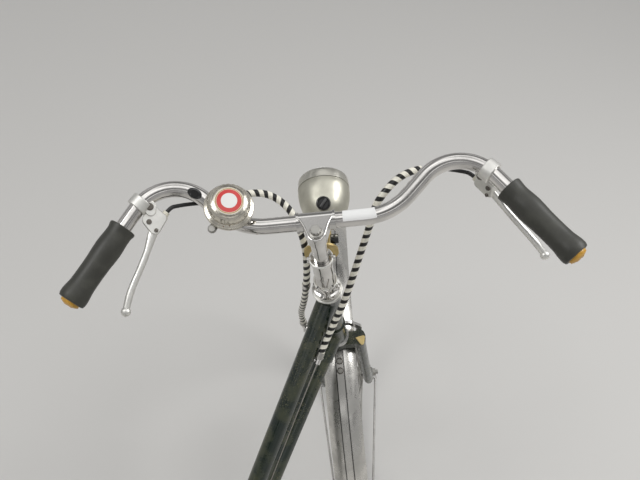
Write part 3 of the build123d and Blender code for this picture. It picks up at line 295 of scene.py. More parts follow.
class Graph:
    """A material's node tree with one method that adds any node."""

    def __init__(self, name: str) -> None:
        """Start a material with a principled shader.

        Args:
            name: The material's name.
        """
        self.material = bpy.data.materials.new(name)
        self._start(self.material, "ShaderNodeBsdfPrincipled", "ShaderNodeOutputMaterial")

    @classmethod
    def for_world(cls, name: str) -> "Graph":
        """Start the scene's world with a plain background.

        Args:
            name: The world's name.

        Returns:
            The world's graph.
        """
        graph = cls.__new__(cls)
        world = bpy.data.worlds.new(name)
        bpy.context.scene.world = world
        graph._start(world, "ShaderNodeBackground", "ShaderNodeOutputWorld")
        return graph

    def _start(self, owner: "bpy.types.Material | bpy.types.World", shader: str, output: str) -> None:
        """Clear an owner's nodes and join a shader to its output.

        Args:
            owner: The material or world.
            shader: The shader's node type.
            output: The output's node type.
        """
        owner.use_nodes = True
        self.tree = owner.node_tree
        self.tree.nodes.clear()
        self.shader = self.node(shader)
        self.tree.links.new(self.shader.outputs[0], self.node(output).inputs["Surface"])

    def node(self, kind: str, settings: Optional[dict] = None, **sockets: object) -> bpy.types.Node:
        """Add a node.

        Args:
            kind: The node's type.
            settings: Its properties, set first.
            sockets: Values or links by socket name; a list goes to the sockets of that name in order.

        Returns:
            The node.
        """
        made = self.tree.nodes.new(kind)
        for key, value in (settings or {}).items():
            if key == "stops":
                self._set_stops(made, value)
            else:
                setattr(made, key, value)
        for key, value in sockets.items():
            self.feed(made, key, value)
        return made

    @staticmethod
    def _set_stops(node: bpy.types.Node, stops: Sequence[tuple[float, Colour]]) -> None:
        """Set a ramp's stops.

        Args:
            node: The colour ramp node.
            stops: Each stop's position and colour.
        """
        elements = node.color_ramp.elements
        while len(elements) < len(stops):
            elements.new(0.5)
        for element, (position, colour) in zip(elements, stops):
            element.position = position
            element.color = (*colour, 1)

    def feed(self, node: bpy.types.Node, key: "str | int", value: object) -> None:
        """Set or link an input.

        Args:
            node: The node that has it.
            key: The input's name or index.
            value: A Value to link, or a constant.
        """
        values = value if isinstance(value, list) else [value]
        if isinstance(key, str):
            inputs = [socket for socket in node.inputs if socket.name == key and socket.enabled]
        else:
            inputs = [node.inputs[key]]
        for socket, item in zip(inputs, values):
            if isinstance(item, Value):
                self.tree.links.new(item.socket, socket)
            elif socket.type == "RGBA" and len(item) == 3:
                socket.default_value = (*item, 1)
            else:
                socket.default_value = item

    def output(self, kind: str, name: str, settings: Optional[dict] = None, **sockets: object) -> Value:
        """Add a node and return one of its outputs.

        Args:
            kind: The node's type.
            name: The output's name.
            settings: Its properties.
            sockets: Values or links by socket name.

        Returns:
            The output.
        """
        made = self.node(kind, settings, **sockets)
        found = next(s for s in made.outputs if s.name == name and s.enabled)
        return Value(self, found)

    def maths(self, operation: str, *values: "Value | float") -> Value:
        """Add a Math node.

        Args:
            operation: Its operation.
            values: Its inputs in order.

        Returns:
            The result.
        """
        return self.output("ShaderNodeMath", "Value", {"operation": operation}, Value=list(values))

    def coords(self, scale: Sequence[float] = (1, 1, 1), turn: Sequence[float] = (0, 0, 0)) -> Value:
        """Return the object coordinates, turned and scaled.

        Args:
            scale: The scale along each axis.
            turn: The turn about each axis, in degrees.

        Returns:
            The coordinates.
        """
        source = self.output("ShaderNodeTexCoord", "Object")
        if tuple(scale) == (1, 1, 1) and tuple(turn) == (0, 0, 0):
            return source
        return self.output(
            "ShaderNodeMapping", "Vector", {"vector_type": "POINT"}, Vector=source, Scale=tuple(scale),
            Rotation=tuple(math.radians(angle) for angle in turn),
        )

    def noise(self, scale: float, detail: float = 4.0, coords: Optional[Value] = None) -> Value:
        """Return a noise from 0 to 1.

        Args:
            scale: Cells per metre.
            detail: Octaves.
            coords: Where it is read, or None for the object's own coordinates.

        Returns:
            The noise's value.
        """
        return self.output(
            "ShaderNodeTexNoise", "Fac", Vector=coords or self.coords(), Scale=scale, Detail=detail,
        )

    def mix(self, factor: "Value | float", low: "Value | Colour", high: "Value | Colour") -> Value:
        """Return a colour between two others.

        Args:
            factor: 0 for the first, 1 for the second.
            low: The first colour.
            high: The second colour.

        Returns:
            The mixed colour.
        """
        made = self.node("ShaderNodeMix", {"data_type": "RGBA"})
        self.feed(made, 0, factor)
        self.feed(made, 6, low)
        self.feed(made, 7, high)
        return Value(self, made.outputs[2])

    def bump(self, height: Value, depth: float, strength: float = 1.0) -> None:
        """Feed a bump of a height into the shader's normal.

        Args:
            height: The relief from 0 to 1.
            depth: Its depth in metres.
            strength: How strongly it shows.
        """
        normal = self.output("ShaderNodeBump", "Normal", Height=height, Distance=depth, Strength=strength)
        self.dress(Normal=normal)

    def dress(self, **sockets: object) -> None:
        """Set or link the shader's inputs, with _ for a space in a name.

        Args:
            sockets: Values or links by name.
        """
        for key, value in sockets.items():
            self.feed(self.shader, key.replace("_", " "), value)


# finishes


@dataclass(frozen=True)
class Finish:
    """A plain finish, and the base of the others."""

    name: str
    colour: Colour
    roughness: float = 0.5
    metallic: float = 0.0
    coat: float = 0.0

    def build(self) -> bpy.types.Material:
        """Make the material, or return the one made before."""
        found = bpy.data.materials.get(self.name)
        if found:
            return found
        graph = Graph(self.name)
        graph.dress(
            Base_Color=self.colour, Roughness=self.roughness, Metallic=self.metallic, Coat_Weight=self.coat,
        )
        self.shade(graph)
        return graph.material

    def shade(self, graph: Graph) -> None:
        """Add what varies over the surface; a plain finish has nothing.

        Args:
            graph: The material's graph.
        """


@dataclass(frozen=True)
class ScuffedPaint(Finish):
    """Glossy old paint with fine scratches, worn to tan in specks and along edges."""

    worn: Colour = (0.27, 0.24, 0.125)
    olive: Colour = (0.056, 0.062, 0.032)
    lean: float = 48.0

    def shade(self, graph: Graph) -> None:
        """Add specks, streaks and dust.

        Args:
            graph: The material's graph.
        """
        along = graph.coords((1, 6, 6), (0, self.lean, 0))
        streaks = graph.noise(60, 4, along).ramp(0.62, 0.74) * graph.noise(11, 3).ramp(0.45, 0.65)
        fine = graph.noise(420, 5).ramp(0.54, 0.72) * graph.noise(24, 4).ramp(0.42, 0.66)
        mottle = graph.noise(34, 6).ramp(0.40, 0.70)
        worn = graph.maths("MAXIMUM", fine * 0.75, streaks * 0.6)
        base = graph.mix(mottle * 0.8, self.colour, self.olive)
        graph.dress(
            Base_Color=graph.mix(worn, base, self.worn),
            Roughness=0.22 + mottle * 0.16 + worn * 0.3,
            Coat_Weight=0.35 - worn * 0.35,
        )
        graph.bump(worn, 0.0001, 0.35)


@dataclass(frozen=True)
class AgedMetal(Finish):
    """Plated or bare metal with uneven polish, haze and small rust specks."""

    haze: float = 0.15
    rust: float = 0.72
    rust_colour: Colour = (0.19, 0.09, 0.04)
    streak_scale: Sequence[float] = (1, 1, 1)

    def shade(self, graph: Graph) -> None:
        """Add haze, fine scratches and rust.

        Args:
            graph: The material's graph.
        """
        haze = graph.noise(38, 6).ramp(0.38, 0.72)
        fine = graph.noise(420, 3, graph.coords(self.streak_scale)).ramp(0.3, 0.75)
        specks = graph.noise(330, 5).ramp(self.rust, self.rust + 0.06) * graph.noise(20, 3).ramp(0.42, 0.6)
        dulled = tuple(0.72 * c for c in self.colour)
        base = graph.mix(haze * 0.55, self.colour, dulled)
        graph.dress(
            Base_Color=graph.mix(specks, base, self.rust_colour),
            Roughness=self.roughness + haze * self.haze + fine * (0.5 * self.haze) + specks * 0.35,
            Metallic=self.metallic - specks * 0.75,
        )
        graph.bump(fine * 0.6 + specks, 0.00004, 0.3)


@dataclass(frozen=True)
class GrooveShadedMetal(AgedMetal):
    """A wheel's mudguard metal, with painted shade: a dark line each side of its raised band, where its
    grooves fall into shade.
    """

    middle: tuple = (0.0, 0.0, 0.0)
    across: tuple = (0.0, 1.0, 0.0)
    half_band: float = 0.0071
    half_groove_shade: float = 0.0013
    # the colour of the painted shade in the grooves
    groove_shade_colour: Colour = (0.03, 0.03, 0.03)

    def shade(self, graph: Graph) -> None:
        """Add the two painted groove-shade lines over the worn metal.

        Args:
            graph: The material's graph.
        """
        super().shade(graph)
        metal = Value(graph, graph.shader.inputs["Base Color"].links[0].from_socket)
        offset = graph.output(
            "ShaderNodeVectorMath", "Vector", {"operation": "SUBTRACT"}, Vector=[graph.coords(), self.middle],
        )
        away = graph.output(
            "ShaderNodeVectorMath", "Value", {"operation": "DOT_PRODUCT"}, Vector=[offset, self.across],
        )
        gap = graph.maths("ABSOLUTE", graph.maths("ABSOLUTE", away) - self.half_band)
        # painted shade: a dark line along each groove beside the raised band, standing in for the groove's
        # shade
        line = 1 - gap.ramp(0.6 * self.half_groove_shade, self.half_groove_shade)
        graph.dress(Base_Color=graph.mix(line * 0.85, metal, self.groove_shade_colour))


@dataclass(frozen=True)
class WornRubber(Finish):
    """Matte rubber or grained vinyl, dusty in its hollows."""

    grain: float = 900.0
    relief: float = 0.0002
    dusty: Colour = (0.11, 0.105, 0.095)

    def shade(self, graph: Graph) -> None:
        """Add grain and dust.

        Args:
            graph: The material's graph.
        """
        grain = graph.noise(self.grain, 4)
        dust = graph.noise(45, 6).ramp(0.42, 0.8)
        graph.dress(
            Base_Color=graph.mix(dust * 0.5, self.colour, self.dusty),
            Roughness=self.roughness + dust * 0.12,
        )
        graph.bump(grain, self.relief, 0.5)


@dataclass(frozen=True)
class StripedHousing(Finish):
    """A cable housing's cover: two colours wound round it, plain black at its ends."""

    second: Colour = (0.012, 0.012, 0.012)
    pitch: float = 0.0138
    plain_start: float = 0.0
    plain_end: float = 10.0
    edge: float = 0.0004

    def shade(self, graph: Graph) -> None:
        """Wind the stripes by the piece's own UV map: U along in metres, V around.

        Args:
            graph: The material's graph.
        """
        route = graph.output("ShaderNodeUVMap", "UV", {"uv_map": "route"})
        parts = graph.node("ShaderNodeSeparateXYZ", Vector=route)
        along, around = Value(graph, parts.outputs["X"]), Value(graph, parts.outputs["Y"])
        wave = (along / self.pitch - around + 40.0).fraction()
        stripe = wave.ramp(0.49, 0.53) * (1 - wave.ramp(0.96, 1.0))
        plain = graph.maths(
            "MAXIMUM", 1 - along.ramp(self.plain_start, self.plain_start + self.edge),
            along.ramp(self.plain_end, self.plain_end + self.edge),
        )
        dark = graph.maths("MAXIMUM", stripe, plain)
        grime = graph.noise(200, 5).ramp(0.4, 0.8)
        pale = graph.mix(grime * 0.4, self.colour, tuple(0.55 * c for c in self.colour))
        graph.dress(Base_Color=graph.mix(dark, pale, self.second), Roughness=self.roughness + grime * 0.15)


@dataclass(frozen=True)
class PrismRed(Finish):
    """A reflector's red plastic, with a fine grid of prisms."""

    cell: float = 0.0032

    def shade(self, graph: Graph) -> None:
        """Add the grid's relief.

        Args:
            graph: The material's graph.
        """
        parts = graph.node("ShaderNodeSeparateXYZ", Vector=graph.coords())
        heights = []
        for name in ("Y", "Z"):
            wave = (Value(graph, parts.outputs[name]) / self.cell).fraction() - 0.5
            heights.append(graph.maths("ABSOLUTE", wave))
        graph.bump(graph.maths("MAXIMUM", *heights), 0.0008, 0.7)


class Finishes:
    """The bicycle's finishes by name."""

    PAINT = ScuffedPaint("dark green paint", (0.010, 0.018, 0.013), 0.22, coat=0.6)
    CHROME = AgedMetal("chrome", (0.70, 0.685, 0.66), 0.06, 1.0, haze=0.10)
    BAR_CHROME = AgedMetal("bar chrome", (0.72, 0.70, 0.675), 0.07, 1.0, haze=0.12, rust=0.7)
    PITTED = AgedMetal("pitted chrome", (0.72, 0.68, 0.59), 0.16, 1.0, haze=0.14, rust=0.64)
    ALLOY = AgedMetal("satin alloy", (0.86, 0.85, 0.81), 0.36, 1.0, haze=0.12, rust=0.88)
    LAMP = AgedMetal("lamp alloy", (0.60, 0.585, 0.50), 0.36, 1.0, haze=0.14, rust=0.84)
    LAMP_RIM = AgedMetal("lamp rim alloy", (0.64, 0.625, 0.56), 0.26, 1.0, haze=0.12, rust=0.84)
    ZINC = AgedMetal("dull zinc", (0.46, 0.45, 0.42), 0.38, 1.0, haze=0.16, rust=0.7)
    YELLOW_ZINC = AgedMetal("yellow zinc", (0.70, 0.55, 0.26), 0.36, 1.0, haze=0.15, rust=0.78)
    STEEL = AgedMetal("oiled steel", (0.19, 0.175, 0.155), 0.38, 1.0, haze=0.2, rust=0.62)
    TYRE = WornRubber("tyre rubber", (0.018, 0.018, 0.018), 0.72, grain=700)
    GRIP = WornRubber("grip rubber", (0.036, 0.036, 0.029), 0.42, grain=500, dusty=(0.08, 0.08, 0.065))
    PAD = WornRubber("brake rubber", (0.03, 0.028, 0.026), 0.75)
    SADDLE = WornRubber("saddle cover", (0.02, 0.018, 0.017), 0.42, grain=420, relief=0.0003)
    PIPING = Finish("saddle piping", (0.035, 0.033, 0.031), 0.4)
    AMBER = WornRubber("amber plastic", (0.66, 0.36, 0.05), 0.3, grain=300, dusty=(0.34, 0.19, 0.05))
    BLACK = Finish("black plastic", (0.012, 0.012, 0.012), 0.25, coat=0.4)
    GREY = Finish("worn black plastic", (0.05, 0.05, 0.05), 0.4, coat=0.2)
    RED = PrismRed("red plastic", (0.45, 0.010, 0.008), 0.12, coat=0.9)
    PAPER = Finish("label paper", (0.86, 0.86, 0.85), 0.55)
    STICKER_RED = Finish("sticker red", (0.60, 0.035, 0.03), 0.3, coat=0.5)
    STICKER_GOLD = Finish("sticker gold", (0.42, 0.25, 0.05), 0.35, coat=0.5)
    STICKER_WHITE = Finish("sticker white", (0.80, 0.80, 0.77), 0.3, coat=0.5)
    CREAM = Finish("cream plastic", (0.74, 0.71, 0.60), 0.35, coat=0.3)
    GLASS = Finish("lamp glass", (0.80, 0.80, 0.78), 0.08, coat=1.0)
    WIRE = AgedMetal("cable wire", (0.45, 0.42, 0.38), 0.3, 1.0, haze=0.1)


# meshes


def polish(bm: bmesh.types.BMesh, merge: float = 1e-6) -> bmesh.types.BMesh:
    """Merge doubled vertices and point the faces outwards.

    Args:
        bm: The mesh.
        merge: The largest distance merged.

    Returns:
        The same mesh.
    """
    bmesh.ops.remove_doubles(bm, verts=bm.verts, dist=merge)
    bmesh.ops.recalc_face_normals(bm, faces=bm.faces)
    return bm


def lathe(
    profile: Sequence[tuple[float, float]], home: Matrix, steps: int = 64
) -> bmesh.types.BMesh:
    """Turn a closed profile about the local Z.

    Args:
        profile: Corners as radius and height in metres.
        home: The place of the axis.
        steps: The faces around.

    Returns:
        The mesh, in the bicycle's coordinates.
    """
    bm = bmesh.new()
    corners = [bm.verts.new((radius, 0, height)) for radius, height in profile]
    edges = [bm.edges.new(pair) for pair in zip(corners, [*corners[1:], corners[0]])]
    bmesh.ops.spin(
        bm, geom=[*corners, *edges], cent=(0, 0, 0), axis=(0, 0, 1), angle=math.tau, steps=steps,
        use_merge=True,
    )
    polish(bm)
    bmesh.ops.transform(bm, matrix=home, verts=bm.verts)
    return bm


def bead(home: Matrix, radius: float, thick: float) -> bmesh.types.BMesh:
    """Turn a round bead about the local Z.

    Args:
        home: The place of its middle.
        radius: The radius of its centre line.
        thick: The radius of its section.

    Returns:
        The mesh.
    """
    turns = [math.tau * step / 12 for step in range(12)]
    return lathe([(radius + thick * math.cos(turn), thick * math.sin(turn)) for turn in turns], home, 72)


def rod(
    bm: bmesh.types.BMesh, start: Vector, stop: Vector, radius: float, sides: int = 16,
    end_radius: Optional[float] = None,
) -> None:
    """Add a closed round bar to a mesh.

    Args:
        bm: The mesh.
        start: One end.
        stop: The other end.
        radius: Its radius.
        sides: The faces around.
        end_radius: The radius at the other end, where it is tapered.
    """
    run = Vector(stop) - Vector(start)
    turn = run.to_track_quat("Z", "Y").to_matrix().to_4x4()
    bmesh.ops.create_cone(
        bm, cap_ends=True, segments=sides, radius1=radius, depth=run.length,
        radius2=radius if end_radius is None else end_radius,
        matrix=Matrix.Translation((Vector(start) + Vector(stop)) / 2) @ turn,
    )


def block(bm: bmesh.types.BMesh, home: Matrix, size: Sequence[float], round_by: float = 0.0) -> None:
    """Add a box with rounded edges to a mesh.

    Args:
        bm: The mesh.
        home: The place of its centre.
        size: Its three sizes.
        round_by: How far its edges are rounded.
    """
    made = bmesh.ops.create_cube(bm, size=1, matrix=home @ Matrix.Diagonal((*size, 1)))
    if round_by:
        edges = list({edge for vert in made["verts"] for edge in vert.link_edges})
        bmesh.ops.bevel(
            bm, geom=edges, offset=round_by, segments=2, profile=0.5, affect="EDGES", material=-1,
        )


def slab(bm: bmesh.types.BMesh, home: Matrix, discs: Iterable[Sequence[float]], half: float) -> None:
    """Add a plate round some discs, with its edges broken.

    Args:
        bm: The mesh.
        home: The place of its middle plane.
        discs: Each disc's X, Y and radius in millimetres.
        half: Half its thickness in metres.
    """
    verts = []
    broken = min(0.0009, half / 2)
    for x, y, radius in discs:
        for level, size in (
            (-half, radius * MM - broken), (broken - half, radius * MM), (half - broken, radius * MM),
            (half, radius * MM - broken),
        ):
            at = home @ Matrix.Translation((x * MM, y * MM, level))
            verts += bmesh.ops.create_circle(bm, segments=28, radius=size, matrix=at)["verts"]
    made = bmesh.ops.convex_hull(bm, input=verts)
    spare = {
        item for item in made["geom_interior"] + made["geom_unused"] if isinstance(item, bmesh.types.BMVert)
    }
    bmesh.ops.delete(bm, geom=list(spare), context="VERTS")


def hex_head(bm: bmesh.types.BMesh, home: Matrix, radius: float, height: float) -> None:
    """Add a six-sided bolt head with its top edges broken.

    Args:
        bm: The mesh.
        home: The place of its foot, with Z out of the surface.
        radius: The distance to its corners.
        height: Its height.
    """
    middle = home @ Matrix.Translation((0, 0, height / 2))
    made = bmesh.ops.create_cone(
        bm, cap_ends=True, segments=6, radius1=radius, radius2=radius, depth=height, matrix=middle,
    )
    inside = middle.inverted()
    top = {
        edge for vert in made["verts"] for edge in vert.link_edges
        if all((inside @ end.co).z > 0 for end in edge.verts)
    }
    bmesh.ops.bevel(
        bm, geom=list(top), offset=0.12 * radius, segments=1, profile=0.5, affect="EDGES", material=-1,
    )


def tube(
    points: Sequence[Vector], radius: "float | Callable[[float], float | tuple[float, float]]",
    sides: int = 12, side: Optional[Vector] = None,
) -> bmesh.types.BMesh:
    """Make a closed tube along points, with a UV map of metres along and share around.

    Args:
        points: The centre line.
        radius: The radius, or a function of the distance along; two half sizes make it oval.
        sides: The faces around.
        side: The direction of the first half size, where it is oval.

    Returns:
        The mesh.
    """
    bm = bmesh.new()
    uv = bm.loops.layers.uv.new("route")
    distances = [0.0]
    for a, b in zip(points, points[1:]):
        distances.append(distances[-1] + (b - a).length)
    order = {}
    last = []
    side = side or (points[1] - points[0]).orthogonal().normalized()
    for index, (point, distance) in enumerate(zip(points, distances)):
        near = points[max(index - 1, 0)]
        far = points[min(index + 1, len(points) - 1)]
        way = (far - near).normalized()
        side = (side - way * side.dot(way)).normalized()
        size = radius(distance) if callable(radius) else radius
        half, other = size if isinstance(size, tuple) else (size, size)
        home = place(point, way, side) @ Matrix.Diagonal((half, other, 1, 1))
        made = bmesh.ops.create_circle(
            bm, segments=sides, radius=1, matrix=home, cap_ends=index in (0, len(points) - 1)
        )["verts"]
        order.update({vert: (index, count) for count, vert in enumerate(made)})
        ring = list({edge for vert in made for edge in vert.link_edges})
        if last:
            bmesh.ops.bridge_loops(bm, edges=[*last, *ring])
        last = ring
    bmesh.ops.recalc_face_normals(bm, faces=bm.faces)
    for face in bm.faces:
        wraps = {order[loop.vert][1] for loop in face.loops} >= {0, sides - 1}
        for loop in face.loops:
            step, count = order[loop.vert]
            share = 1.0 if wraps and count == 0 else count / sides
            loop[uv].uv = (distances[step], share)
    return bm


def route_points(name: str, corners: Sequence[Vector], detail: int = 12) -> list[Vector]:
    """Follow a smooth spline whose control points are the route's corners.

    Args:
        name: The curve's name.
        corners: The chosen points.
        detail: The points between two corners.

    Returns:
        The points along the spline.
    """
    curve = bpy.data.curves.new(name, "CURVE")
    curve.dimensions = "3D"
    curve.resolution_u = detail
    spline = curve.splines.new("NURBS")
    spline.points.add(len(corners) - 1)
    for point, corner in zip(spline.points, corners):
        point.co = (*corner, 1)
    spline.order_u = 3
    spline.use_endpoint_u = True
    carrier = bpy.data.objects.new(name, curve)
    bpy.context.scene.collection.objects.link(carrier)
    bpy.context.view_layer.update()
    line = bpy.data.meshes.new_from_object(carrier.evaluated_get(bpy.context.evaluated_depsgraph_get()))
    points = [vert.co.copy() for vert in line.vertices]
    bpy.data.objects.remove(carrier)
    bpy.data.meshes.remove(line)
    bpy.data.curves.remove(curve)
    return points


def repeat(bm: bmesh.types.BMesh, model: bmesh.types.BMesh, places: Iterable[Matrix]) -> None:
    """Add copies of a small mesh at many places, and free it.

    Args:
        bm: The mesh that gets the copies.
        model: The mesh copied, drawn about its own origin.
        places: Where each copy goes.
    """
    carrier = bpy.data.meshes.new("model")
    model.to_mesh(carrier)
    model.free()
    for home in places:
        known = len(bm.verts)
        bm.from_mesh(carrier)
        bm.verts.ensure_lookup_table()
        bmesh.ops.transform(bm, matrix=home, verts=bm.verts[known:])
    bpy.data.meshes.remove(carrier)


def moved(bm: bmesh.types.BMesh, home: Matrix) -> bmesh.types.BMesh:
    """Move a mesh to a place and return it.

    Args:
        bm: The mesh.
        home: The place.

    Returns:
        The same mesh.
    """
    bmesh.ops.transform(bm, matrix=home, verts=bm.verts)
    return bm


def millimetres(*corners: Sequence[float]) -> list[tuple[float, ...]]:
    """Return corners given in millimetres in metres.

    Args:
        corners: The corners.

    Returns:
        The same corners in metres.
    """
    return [tuple(value * MM for value in corner) for corner in corners]


def coil(home: Matrix, radius: float, height: float, turns: float, wire: float) -> bmesh.types.BMesh:
    """Wind a coil spring about the local Z.

    Args:
        home: The place of its foot.
        radius: The radius of the wire's centre line.
        height: The spring's height.
        turns: How often it goes round.
        wire: The wire's radius.

    Returns:
        The mesh.
    """
    bm = bmesh.new()
    section = Matrix.Translation((radius, 0, 0)) @ Matrix.Rotation(math.radians(90), 4, "X")
    ring = bmesh.ops.create_circle(bm, segments=8, radius=wire, matrix=section, cap_ends=True)
    steps = round(turns * 20)
    bmesh.ops.spin(
        bm, geom=[*bm.faces, *ring["verts"], *bm.edges], cent=(0, 0, 0), axis=(0, 0, 1),
        angle=math.tau * turns, dvec=(0, 0, height / steps), steps=steps,
    )
    return moved(polish(bm), home)


def add_piece(
    name: str, bm: bmesh.types.BMesh, finish: Finish, body: Optional[Body],
    replaces: Sequence[str] = (), smooth: float = 35.0,
) -> bpy.types.Object:
    """Finish a mesh as a named piece that rides on a body.

    Args:
        name: The piece's name.
        bm: Its mesh, which is freed.
        finish: Its finish.
        body: The body that it rides on, or None where the caller leaves it unparented.
        replaces: The nodes that it stands for.
        smooth: The angle in degrees below which edges are smooth.

    Returns:
        The object.
    """
    mesh = bpy.data.meshes.new(name)
    bm.to_mesh(mesh)
    bm.free()
    mesh.polygons.foreach_set("use_smooth", [True] * len(mesh.polygons))
    mesh.set_sharp_from_angle(angle=math.radians(smooth))
    mesh.materials.append(finish.build())
    piece = bpy.data.objects.new(name, mesh)
    bpy.context.scene.collection.objects.link(piece)
    if body is not None:
        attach(piece, body.value)
    if replaces:
        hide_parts(*replaces)
    log.info("%s: %d faces on %s", name, len(mesh.polygons), body.value if body else "two bodies")
    return piece


# sub-assemblies


@dataclass
class CadDress:
    """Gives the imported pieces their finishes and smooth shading."""

    nodes: dict
    layout: Layout
    guard_colour: Colour = (0.68, 0.665, 0.63)
    merge: float = 0.000005
    sharp_angle: float = 32.0

    def dress(self) -> None:
        """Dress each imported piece."""
        for name, home in (("front", self.layout.front_wheel), ("rear", self.layout.rear_wheel)):
            # the mudguard's finish paints the shade of its grooves as dark lines beside its raised band
            guard = GrooveShadedMetal(
                f"{name} mudguard alloy", self.guard_colour, 0.2, 1.0, haze=0.16, rust=0.84,
                middle=tuple(home.translation), across=tuple(home.col[2].xyz),
            )
            self._dress_node(self.nodes[f"{name}_mudguard"], guard)
        finishes = {
            Finishes.PAINT: ("frame", "rear_stays", "fork", "chain_guard"),
            Finishes.CHROME: (
                "headset_cups", "headset_stack", "stem", "crank_axle", "chainring", "crank_left",
                "crank_right", "headlamp_rim", "front_rim", "rear_rim", "seat_post", "bottom_bracket_cups",
                "bell_base", "cable_stops", "front_caliper", "rear_caliper", "pedal_left", "pedal_right",
                "front_mudguard_stays", "rear_mudguard_stays",
            ),
            Finishes.BAR_CHROME: ("handlebar",),
            Finishes.ALLOY: ("lever_left", "lever_right", "lever_clamp_left", "lever_clamp_right"),
            Finishes.ZINC: ("stand", "stand_bracket", "front_axle", "rear_axle", "front_hub", "rear_hub"),
            Finishes.YELLOW_ZINC: ("headlamp_bracket",),
            Finishes.STEEL: ("sprocket", "saddle_frame"),
            Finishes.PAD: ("front_brake_pads", "rear_brake_pads"),
            Finishes.GLASS: ("headlamp_lens",),
            Finishes.RED: ("rear_reflector",),
            Finishes.WIRE: ("rear_brake_wire",),
        }
        for finish, names in finishes.items():
            for name in names:
                self._dress_node(self.nodes[name], finish)
            log.info("%s on %d packed pieces", finish.name, len(names))

    def _dress_node(self, node: bpy.types.Object, finish: Finish) -> None:
        """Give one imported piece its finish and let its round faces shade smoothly.

        Args:
            node: The piece.
            finish: Its finish.
        """
        node.data.materials.clear()
        node.data.materials.append(finish.build())
        node.data.polygons.foreach_set("use_smooth", [True] * len(node.data.polygons))
        weld = node.modifiers.new("weld", "WELD")
        weld.merge_threshold = self.merge
        split = node.modifiers.new("edges", "EDGE_SPLIT")
        split.split_angle = math.radians(self.sharp_angle)


@dataclass
class Cables:
    """The brake cables: striped housings, each with a plain black stretch at the lever, and ferrules."""

    layout: Layout
    housing_radius: float = 0.0053
    core_radius: float = 0.0028
    plain_length: float = 0.066
    ferrule_radius: float = 0.0058
    ferrule_length: float = 0.011
    cover_colour: Colour = (0.90, 0.87, 0.76)
    clip_level: float = -0.165
    clip_half: float = 0.004
    clip_wall: float = 0.0012
    front_route: tuple = (
        # forward, left, up from the bar's centre, in the steering's directions
        (58.85, 191.26, 16.87), (62.84, 176.36, 13.98), (71, 148, 0), (86, 114, -14), (99, 80, -27),
        (89, 52, -37), (62, 31, -47), (30, 22, -85), (12, 28, -140), (8, 37, -195), (12, 47, -247),
        (24, 55, -296), (24, 55, -340.1),
    )
    rear_start: tuple = (
        (79.87, -210.77, -1.58), (89.41, -201.02, -9.35), (99, -176, -13), (99, -147, -9), (90, -122, -8),
        (75, -103, -10), (57.6, -82.2, -25),
    )
    rear_rest: tuple = (
        # forward, left, up in the frame's directions
        (358, -37, 946), (339.7, -35, 900.3), (321, -35, 863.4), (309, -32, 824), (299, -25, 785),
        (286.96, -20, 753.4), (267, -20, 731),
    )
    tail_route: tuple = (
        (-41, -20, 393), (-62.29, -20, 369.11), (-98, -26, 348), (-136, -29, 354), (-161, -31, 386),
        (-174, -33, 430), (-187, -36.5, 478), (-200, -39, 530), (-213, -42, 582), (-226, -46, 632),
        (-243, -50, 676), (-268, -54, 703), (-297, -55, 697), (-318.5, -55, 663.9),
    )

    def build(self) -> None:
        """Build the three housings with their ferrules."""
        steering, frame = self.layout.steering, self.layout.frame
        front = route_points("front cable line", self._placed(steering, self.front_route))
        rear_end = self._placed(frame, self.rear_rest)
        rear = route_points("rear cable line", self._placed(steering, self.rear_start) + rear_end)
        tail = route_points("tail cable line", self._placed(frame, self.tail_route))
        self._housing("front_housing", front, Body.STEERING, "front_brake_cable", self.plain_length)
        piece = self._housing("rear_housing", rear, None, "rear_brake_cable", self.plain_length)
        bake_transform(piece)
        self._housing("tail_housing", tail, Body.FRAME, "rear_brake_tail", 0.0)
        self._ferrules(front, rear, tail)

    @staticmethod
    def _placed(home: Matrix, points: Iterable[Sequence[float]]) -> list[Vector]:
        """Return points given in millimetres at a place as points of the bicycle.

        Args:
            home: The place.
            points: The points.

        Returns:
            The points in metres.
        """
        return [home @ (Vector(point) * MM) for point in points]

    def _housing(
        self, name: str, line: list[Vector], body: Optional[Body], node: str, plain: float
    ) -> bpy.types.Object:
        """Build one housing.

        Args:
            name: The piece's name.
            line: Its centre line.
            body: The body that it rides on, or None.
            node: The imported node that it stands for.
            plain: The length of its thinner black start.

        Returns:
            The piece.
        """

        def radius(along: float) -> float:
            """Return the housing's radius at a distance along it."""
            return self.core_radius if along < plain else self.housing_radius

        finish = StripedHousing(f"{name} cover", self.cover_colour, 0.3, plain_start=plain)
        return add_piece(name, tube(line, radius), finish, body, (node,))

    def _ferrules(self, front: list[Vector], rear: list[Vector], tail: list[Vector]) -> None:
        """Cap the housings' ends at their stops.

        Args:
            front: The front housing's line.
            rear: The line from the right lever to the frame's stop.
            tail: The line from the frame to the rear brake.
        """
        for name, line, body in (
            ("front_ferrule", front[::-1], Body.STEERING), ("rear_ferrule", rear[::-1], Body.FRAME),
            ("tail_ferrule", tail, Body.FRAME), ("caliper_ferrule", tail[::-1], Body.FRAME),
        ):
            bm = bmesh.new()
            way = (line[1] - line[0]).normalized()
            rod(bm, line[0], line[0] + way * self.ferrule_length, self.ferrule_radius, 20)
            rod(bm, line[0] + way * 0.002, line[0] + way * 0.004, self.ferrule_radius * 1.16, 20)
            add_piece(name, bm, Finishes.ZINC, body)
        inside = self.layout.steering.inverted()
        near = min(front, key=lambda point: abs((inside @ point).z - self.clip_level))
        way = (front[front.index(near) + 1] - near).normalized()
        bm = bmesh.new()
        half = way * self.clip_half
        rod(bm, near - half, near + half, self.housing_radius + self.clip_wall, 20)
        add_piece("cable_clip", bm, Finishes.CHROME, Body.STEERING)


